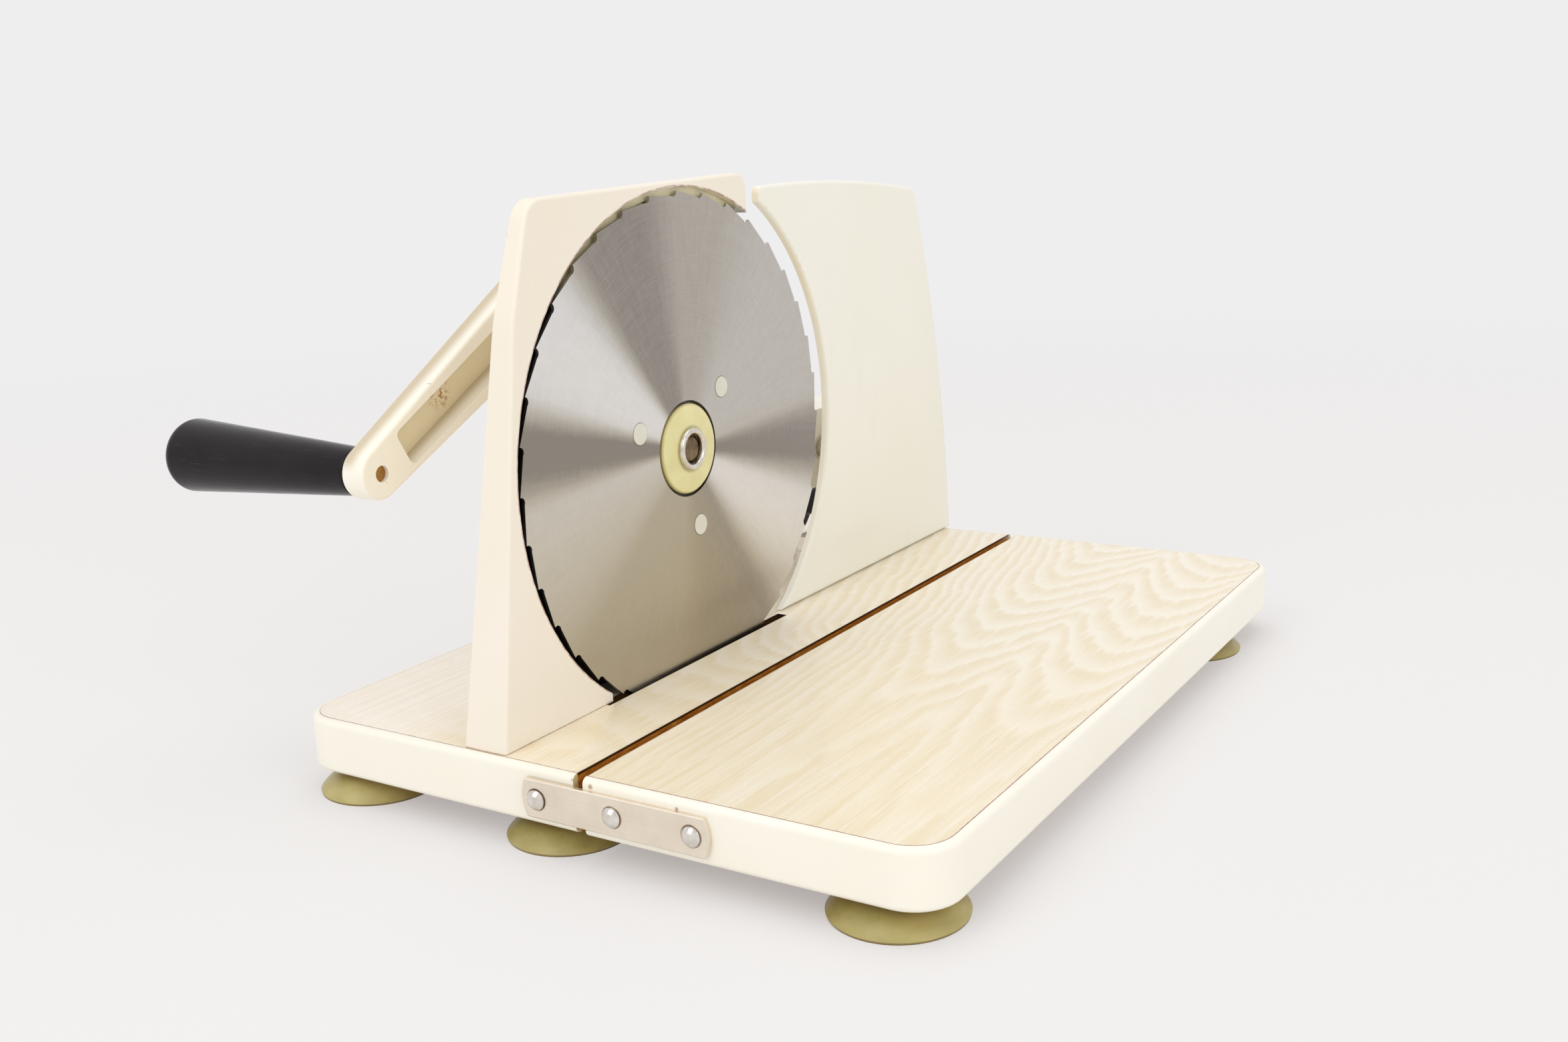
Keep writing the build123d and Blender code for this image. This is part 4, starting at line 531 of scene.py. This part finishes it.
def black_finish(name, *painted):
    """Black moulding with painted highlight streaks along its length; the same streaks are dull scuffs
    in its roughness and bump.
    """
    kit = Finish(name, Specular_IOR_Level=0.2)
    cloud = kit.noise(kit.place, 0.06, 4.0)
    scuff = kit.noise(kit.stretched(0.06, 1.1, 1.1), detail=5.0, roughness=0.7)
    base = kit.bands(cloud, (0.3, linear(24, 19, 22)), (0.7, linear(34, 29, 33)))
    # painted highlight streaks along the grip and knob
    base = kit.mix(kit.span(scuff, 0.58, 0.78, 0.0, 0.35), base, linear(92, 88, 96))
    kit.set(Base_Color=base, Roughness=kit.span(scuff, 0.35, 0.7, 0.12, 0.28))
    kit.bump(scuff, 0.02, 0.35)
    kit.paint(*painted)


def nylon_finish(name, light, dark, low, high, *painted, groove=False):
    """Waxy nylon; painted shade darkens the drive's face in the groove round the hub."""
    kit = Finish(name)
    cloud = kit.noise(kit.place, 0.10, 4.0)
    base = kit.bands(cloud, (0.3, light), (0.7, dark))
    if groove:
        # painted shade in the groove between the hub disc and the blade's bore
        away = kit.radius(kit.y, kit.z, BLADE_AT)
        ring = kit.span(away, PEG_CIRCLE - 9.0, PEG_CIRCLE - 8.0, 1.0, 0.0)
        ring = kit.times(ring, kit.span(kit.x, -3.4, -3.0))
        base = kit.mix(kit.times(ring, 0.85), base, linear(70, 58, 40))
    kit.set(Base_Color=base, Roughness=kit.span(cloud, 0.3, 0.7, low, high))
    kit.set(Subsurface_Weight=0.2, Subsurface_Scale=0.002)
    kit.bump(kit.noise(kit.place, 0.8, 3.0), 0.02, 0.4)
    kit.paint(*painted)


def hub_finish():
    """Yellowed hub disc, with painted shade against the sleeve and at its rim."""
    kit = Finish("hub_yellow")
    away = kit.radius(kit.y, kit.z, BLADE_AT)
    cloud = kit.noise(kit.place, 0.10, 4.0)
    base = kit.bands(cloud, (0.3, linear(232, 225, 172)), (0.7, linear(222, 213, 154)))
    # painted shade where the disc meets the sleeve and at its rim
    edge = kit.largest(
        kit.span(away, 8.0, 9.6, 1.0, 0.0), kit.span(away, HUB_RADIUS - 0.9, HUB_RADIUS)
    )
    base = kit.mix(kit.times(edge, 0.55), base, linear(158, 140, 78))
    kit.set(Base_Color=base, Roughness=kit.span(cloud, 0.3, 0.7, 0.28, 0.42))
    kit.set(Subsurface_Weight=0.2, Subsurface_Scale=0.002)
    kit.bump(kit.noise(kit.place, 0.8, 3.0), 0.02, 0.4)
    kit.paint("hub_disc")


arm_finish()
black_finish("grip_black", "handle_grip")
black_finish("knob_black", "adjuster_knob")
nylon_finish(
    "drive_nylon", linear(226, 224, 212), linear(216, 213, 198), 0.3, 0.45,
    "blade_drive_gear", "blade_thrust_washer", "crank_gear", groove=True,
)
nylon_finish(
    "bush_nylon", linear(232, 228, 216), linear(222, 217, 202), 0.3, 0.45,
    "crank_thrust_washer", "guide_rod_bushes",
)
hub_finish()


# ---------------------------------------------------------------- blade
# painted reflection fans on the blade: bright ones are painted highlights, dull ones painted dark
# reflections; centre in degrees from +Y, half width, strength
PAINTED_HIGHLIGHT_FANS = ((147.0, 22.0, 0.62), (-34.0, 24.0, 0.58), (-163.0, 26.0, 0.36), (30.0, 44.0, 0.17))
PAINTED_DARK_REFLECTION_FANS = ((171.0, 13.0, 0.42), (-9.0, 14.0, 0.36), (114.0, 24.0, 0.26), (-68.0, 34.0, 0.24))
BLADE_TONE = 0.33


def blade_finish():
    """Circular grinding marks with painted bright and dark reflection fans, and a painted reflection of
    the pale brown boards lower down.
    """
    kit = Finish("blade_steel", Metallic=1.0, Anisotropic=0.6)
    away = kit.radius(kit.y, kit.z, BLADE_AT)
    heading = kit.heading()

    def polar(around, across):
        """Noise place on the disc, with no seam, at densities round it and along its radius."""
        spread = kit.vector("SCALE", heading, scale=around)
        return kit.vector("ADD", spread, kit.combine(kit.times(away, across), 0.0))

    scratch = kit.around(kit.noise(polar(5.0, 1.5), 1.0, 6.0, 0.75))
    cloud = kit.around(kit.noise(polar(34.0, 0.10), 1.0, 4.0, 0.7))
    tone = kit.plus(BLADE_TONE, kit.times(scratch, 0.17), kit.times(cloud, 0.10))
    # the fans are painted reflections: bright ones raise the tone as painted highlights, dull ones
    # lower it as painted dark reflections
    for centre, half_width, strength in PAINTED_HIGHLIGHT_FANS:
        tone = kit.plus(tone, kit.times(kit.fan(heading, centre, half_width), strength))
    for centre, half_width, strength in PAINTED_DARK_REFLECTION_FANS:
        tone = kit.minus(tone, kit.times(kit.fan(heading, centre, half_width), strength))
    base = kit.bands(
        tone, (0.0, linear(152, 145, 138)), (0.35, linear(194, 188, 178)),
        (0.7, linear(220, 217, 212)), (1.0, linear(240, 238, 236)),
    )
    # painted reflection of the pale brown boards on the lower part of the blade
    board_reflection = kit.fan(heading, -115.0, 75.0)
    base = kit.mix(kit.times(board_reflection, 0.55), base, linear(188, 176, 148))
    grain = kit.noise(kit.place, 0.9, 5.0, 0.75)
    base = kit.mix(kit.span(grain, 0.60, 0.80, 0.0, 0.18), base, linear(120, 112, 100))
    # painted shade in the gaps round the drive's three pegs, on the blade's face
    peg_gap_shade = 0.0
    for turn in PEG_ANGLES:
        peg_y = BLADE_AT[0] + PEG_CIRCLE * cos(radians(turn))
        peg_z = BLADE_AT[1] + PEG_CIRCLE * sin(radians(turn))
        at = (peg_y, peg_z)
        ring = kit.span(kit.radius(kit.y, kit.z, at), PEG_RADIUS + 0.05, PEG_RADIUS + 0.4, 1.0, 0.0)
        peg_gap_shade = kit.math("MAXIMUM", peg_gap_shade, ring)
    base = kit.mix(kit.times(peg_gap_shade, 0.7), base, linear(80, 72, 60))
    kit.set(Base_Color=base, Roughness=kit.span(scratch, -0.6, 0.6, 0.32, 0.44))
    made = kit.add("ShaderNodeTangent", direction_type="RADIAL", axis="X")
    kit.tree.links.new(made.outputs[0], kit.shader.inputs["Tangent"])
    kit.bump(scratch, 0.004, 0.4)
    kit.paint("blade")


blade_finish()


# ---------------------------------------------------------------- floor, lights, camera
BACKGROUND = linear(239, 238, 239)
SHOWN_RAYS = ("Is Camera Ray", "Is Glossy Ray", "Is Transmission Ray")
FLOOR_SIDES = 96
FLOOR_RINGS = (0.4, 1.0, 2.0, 6.0)
WORLD_COLOUR = (1.0, 0.995, 0.985, 1.0)
WORLD_STRENGTH = 0.82
# name, place in metres, aim in metres, size, watts, colour
LAMPS = (
    ("key_light", (-0.4, -1.6, 1.4), (0, 0, 0.08), 1.2, 7.5, (1.0, 0.99, 0.97)),
    ("right_light", (1.7, -0.7, 1.1), (0, 0, 0.08), 1.0, 6.0, (1.0, 0.995, 0.98)),
    ("top_light", (0.1, 0.2, 2.0), (0, 0, 0.05), 1.6, 5.0, (1.0, 1.0, 1.0)),
)
CAMERA_PLACE = (0.33944, -0.52656, 0.22207)
CAMERA_TURN, CAMERA_LIFT, CAMERA_ROLL = radians(32.29), radians(13.523), radians(-2.318)
CAMERA_SENSOR = 36.0
CAMERA_LENS = 36.0226


def stage_floor():
    """Round pale floor that turns into the colour of the surroundings and keeps a soft shadow."""
    points = [(0.0, 0.0, 0.0)]
    faces = []
    for k, radius in enumerate(FLOOR_RINGS):
        here = 1 + k * FLOOR_SIDES
        inner = here - FLOOR_SIDES
        for i in range(FLOOR_SIDES):
            turn = 2 * pi * i / FLOOR_SIDES
            points.append((radius * cos(turn), radius * sin(turn), 0.0))
            j = (i + 1) % FLOOR_SIDES
            if k == 0:
                faces.append((0, here + i, here + j))
            else:
                faces.append((inner + i, here + i, here + j, inner + j))
    mesh = bpy.data.meshes.new("floor")
    mesh.from_pydata(points, [], faces)
    floor = bpy.data.objects.new("floor", mesh)
    bpy.context.scene.collection.objects.link(floor)
    kit = Finish("floor_paper", Roughness=0.9, Specular_IOR_Level=0.1)
    kit.set(Base_Color=(0.84, 0.82, 0.81, 1.0))
    glow = kit.add("ShaderNodeEmission")
    glow.inputs["Color"].default_value = BACKGROUND
    path = kit.add("ShaderNodeLightPath")
    seen = kit.largest(*(path.outputs[ray] for ray in SHOWN_RAYS))
    far = kit.span(kit.vector("LENGTH", kit.place), 300.0, 1600.0, 0.42, 1.0)
    blend = kit.add("ShaderNodeMixShader")
    kit.plug(kit.times(far, seen), blend.inputs[0])
    kit.tree.links.new(kit.shader.outputs[0], blend.inputs[1])
    kit.tree.links.new(glow.outputs[0], blend.inputs[2])
    out = kit.tree.nodes["Material Output"]
    kit.tree.links.new(blend.outputs[0], out.inputs["Surface"])
    mesh.materials.append(kit.material)


def surroundings():
    """Even soft light; camera, glossy and transmitted rays see the pale background."""
    world = bpy.data.worlds.new("surroundings")
    bpy.context.scene.world = world
    world.use_nodes = True
    tree = world.node_tree
    soft = tree.nodes["Background"]
    soft.inputs["Color"].default_value = WORLD_COLOUR
    soft.inputs["Strength"].default_value = WORLD_STRENGTH
    shown = tree.nodes.new("ShaderNodeBackground")
    shown.inputs["Color"].default_value = BACKGROUND
    path = tree.nodes.new("ShaderNodeLightPath")
    seen = path.outputs[SHOWN_RAYS[0]]
    for ray in SHOWN_RAYS[1:]:
        most = tree.nodes.new("ShaderNodeMath")
        most.operation = "MAXIMUM"
        tree.links.new(seen, most.inputs[0])
        tree.links.new(path.outputs[ray], most.inputs[1])
        seen = most.outputs[0]
    blend = tree.nodes.new("ShaderNodeMixShader")
    tree.links.new(seen, blend.inputs[0])
    tree.links.new(soft.outputs[0], blend.inputs[1])
    tree.links.new(shown.outputs[0], blend.inputs[2])
    tree.links.new(blend.outputs[0], tree.nodes["World Output"].inputs["Surface"])


def soft_lamp(name, place, aim, size, power, colour):
    data = bpy.data.lights.new(name, "AREA")
    data.shape = "SQUARE"
    data.size = size
    data.energy = power
    data.color = colour
    lamp = bpy.data.objects.new(name, data)
    bpy.context.scene.collection.objects.link(lamp)
    lamp.location = place
    lamp.rotation_euler = (Vector(aim) - Vector(place)).to_track_quat("-Z", "Y").to_euler()


def camera_like_photo():
    data = bpy.data.cameras.new("camera")
    data.sensor_width = CAMERA_SENSOR
    data.lens = CAMERA_LENS
    data.clip_start = 0.02
    camera = bpy.data.objects.new("camera", data)
    bpy.context.scene.collection.objects.link(camera)
    turn, lift, roll = CAMERA_TURN, CAMERA_LIFT, CAMERA_ROLL
    ahead = Vector((-sin(turn) * cos(lift), cos(turn) * cos(lift), -sin(lift)))
    right = Vector((cos(turn), sin(turn), 0.0))
    up = right.cross(ahead)
    across = cos(roll) * right + sin(roll) * up
    upward = -sin(roll) * right + cos(roll) * up
    axes = Matrix((across, upward, -ahead)).transposed().to_4x4()
    camera.matrix_world = Matrix.Translation(CAMERA_PLACE) @ axes
    bpy.context.scene.camera = camera


stage_floor()
surroundings()
for lamp in LAMPS:
    soft_lamp(*lamp)
camera_like_photo()
bpy.context.scene.view_settings.view_transform = "Standard"
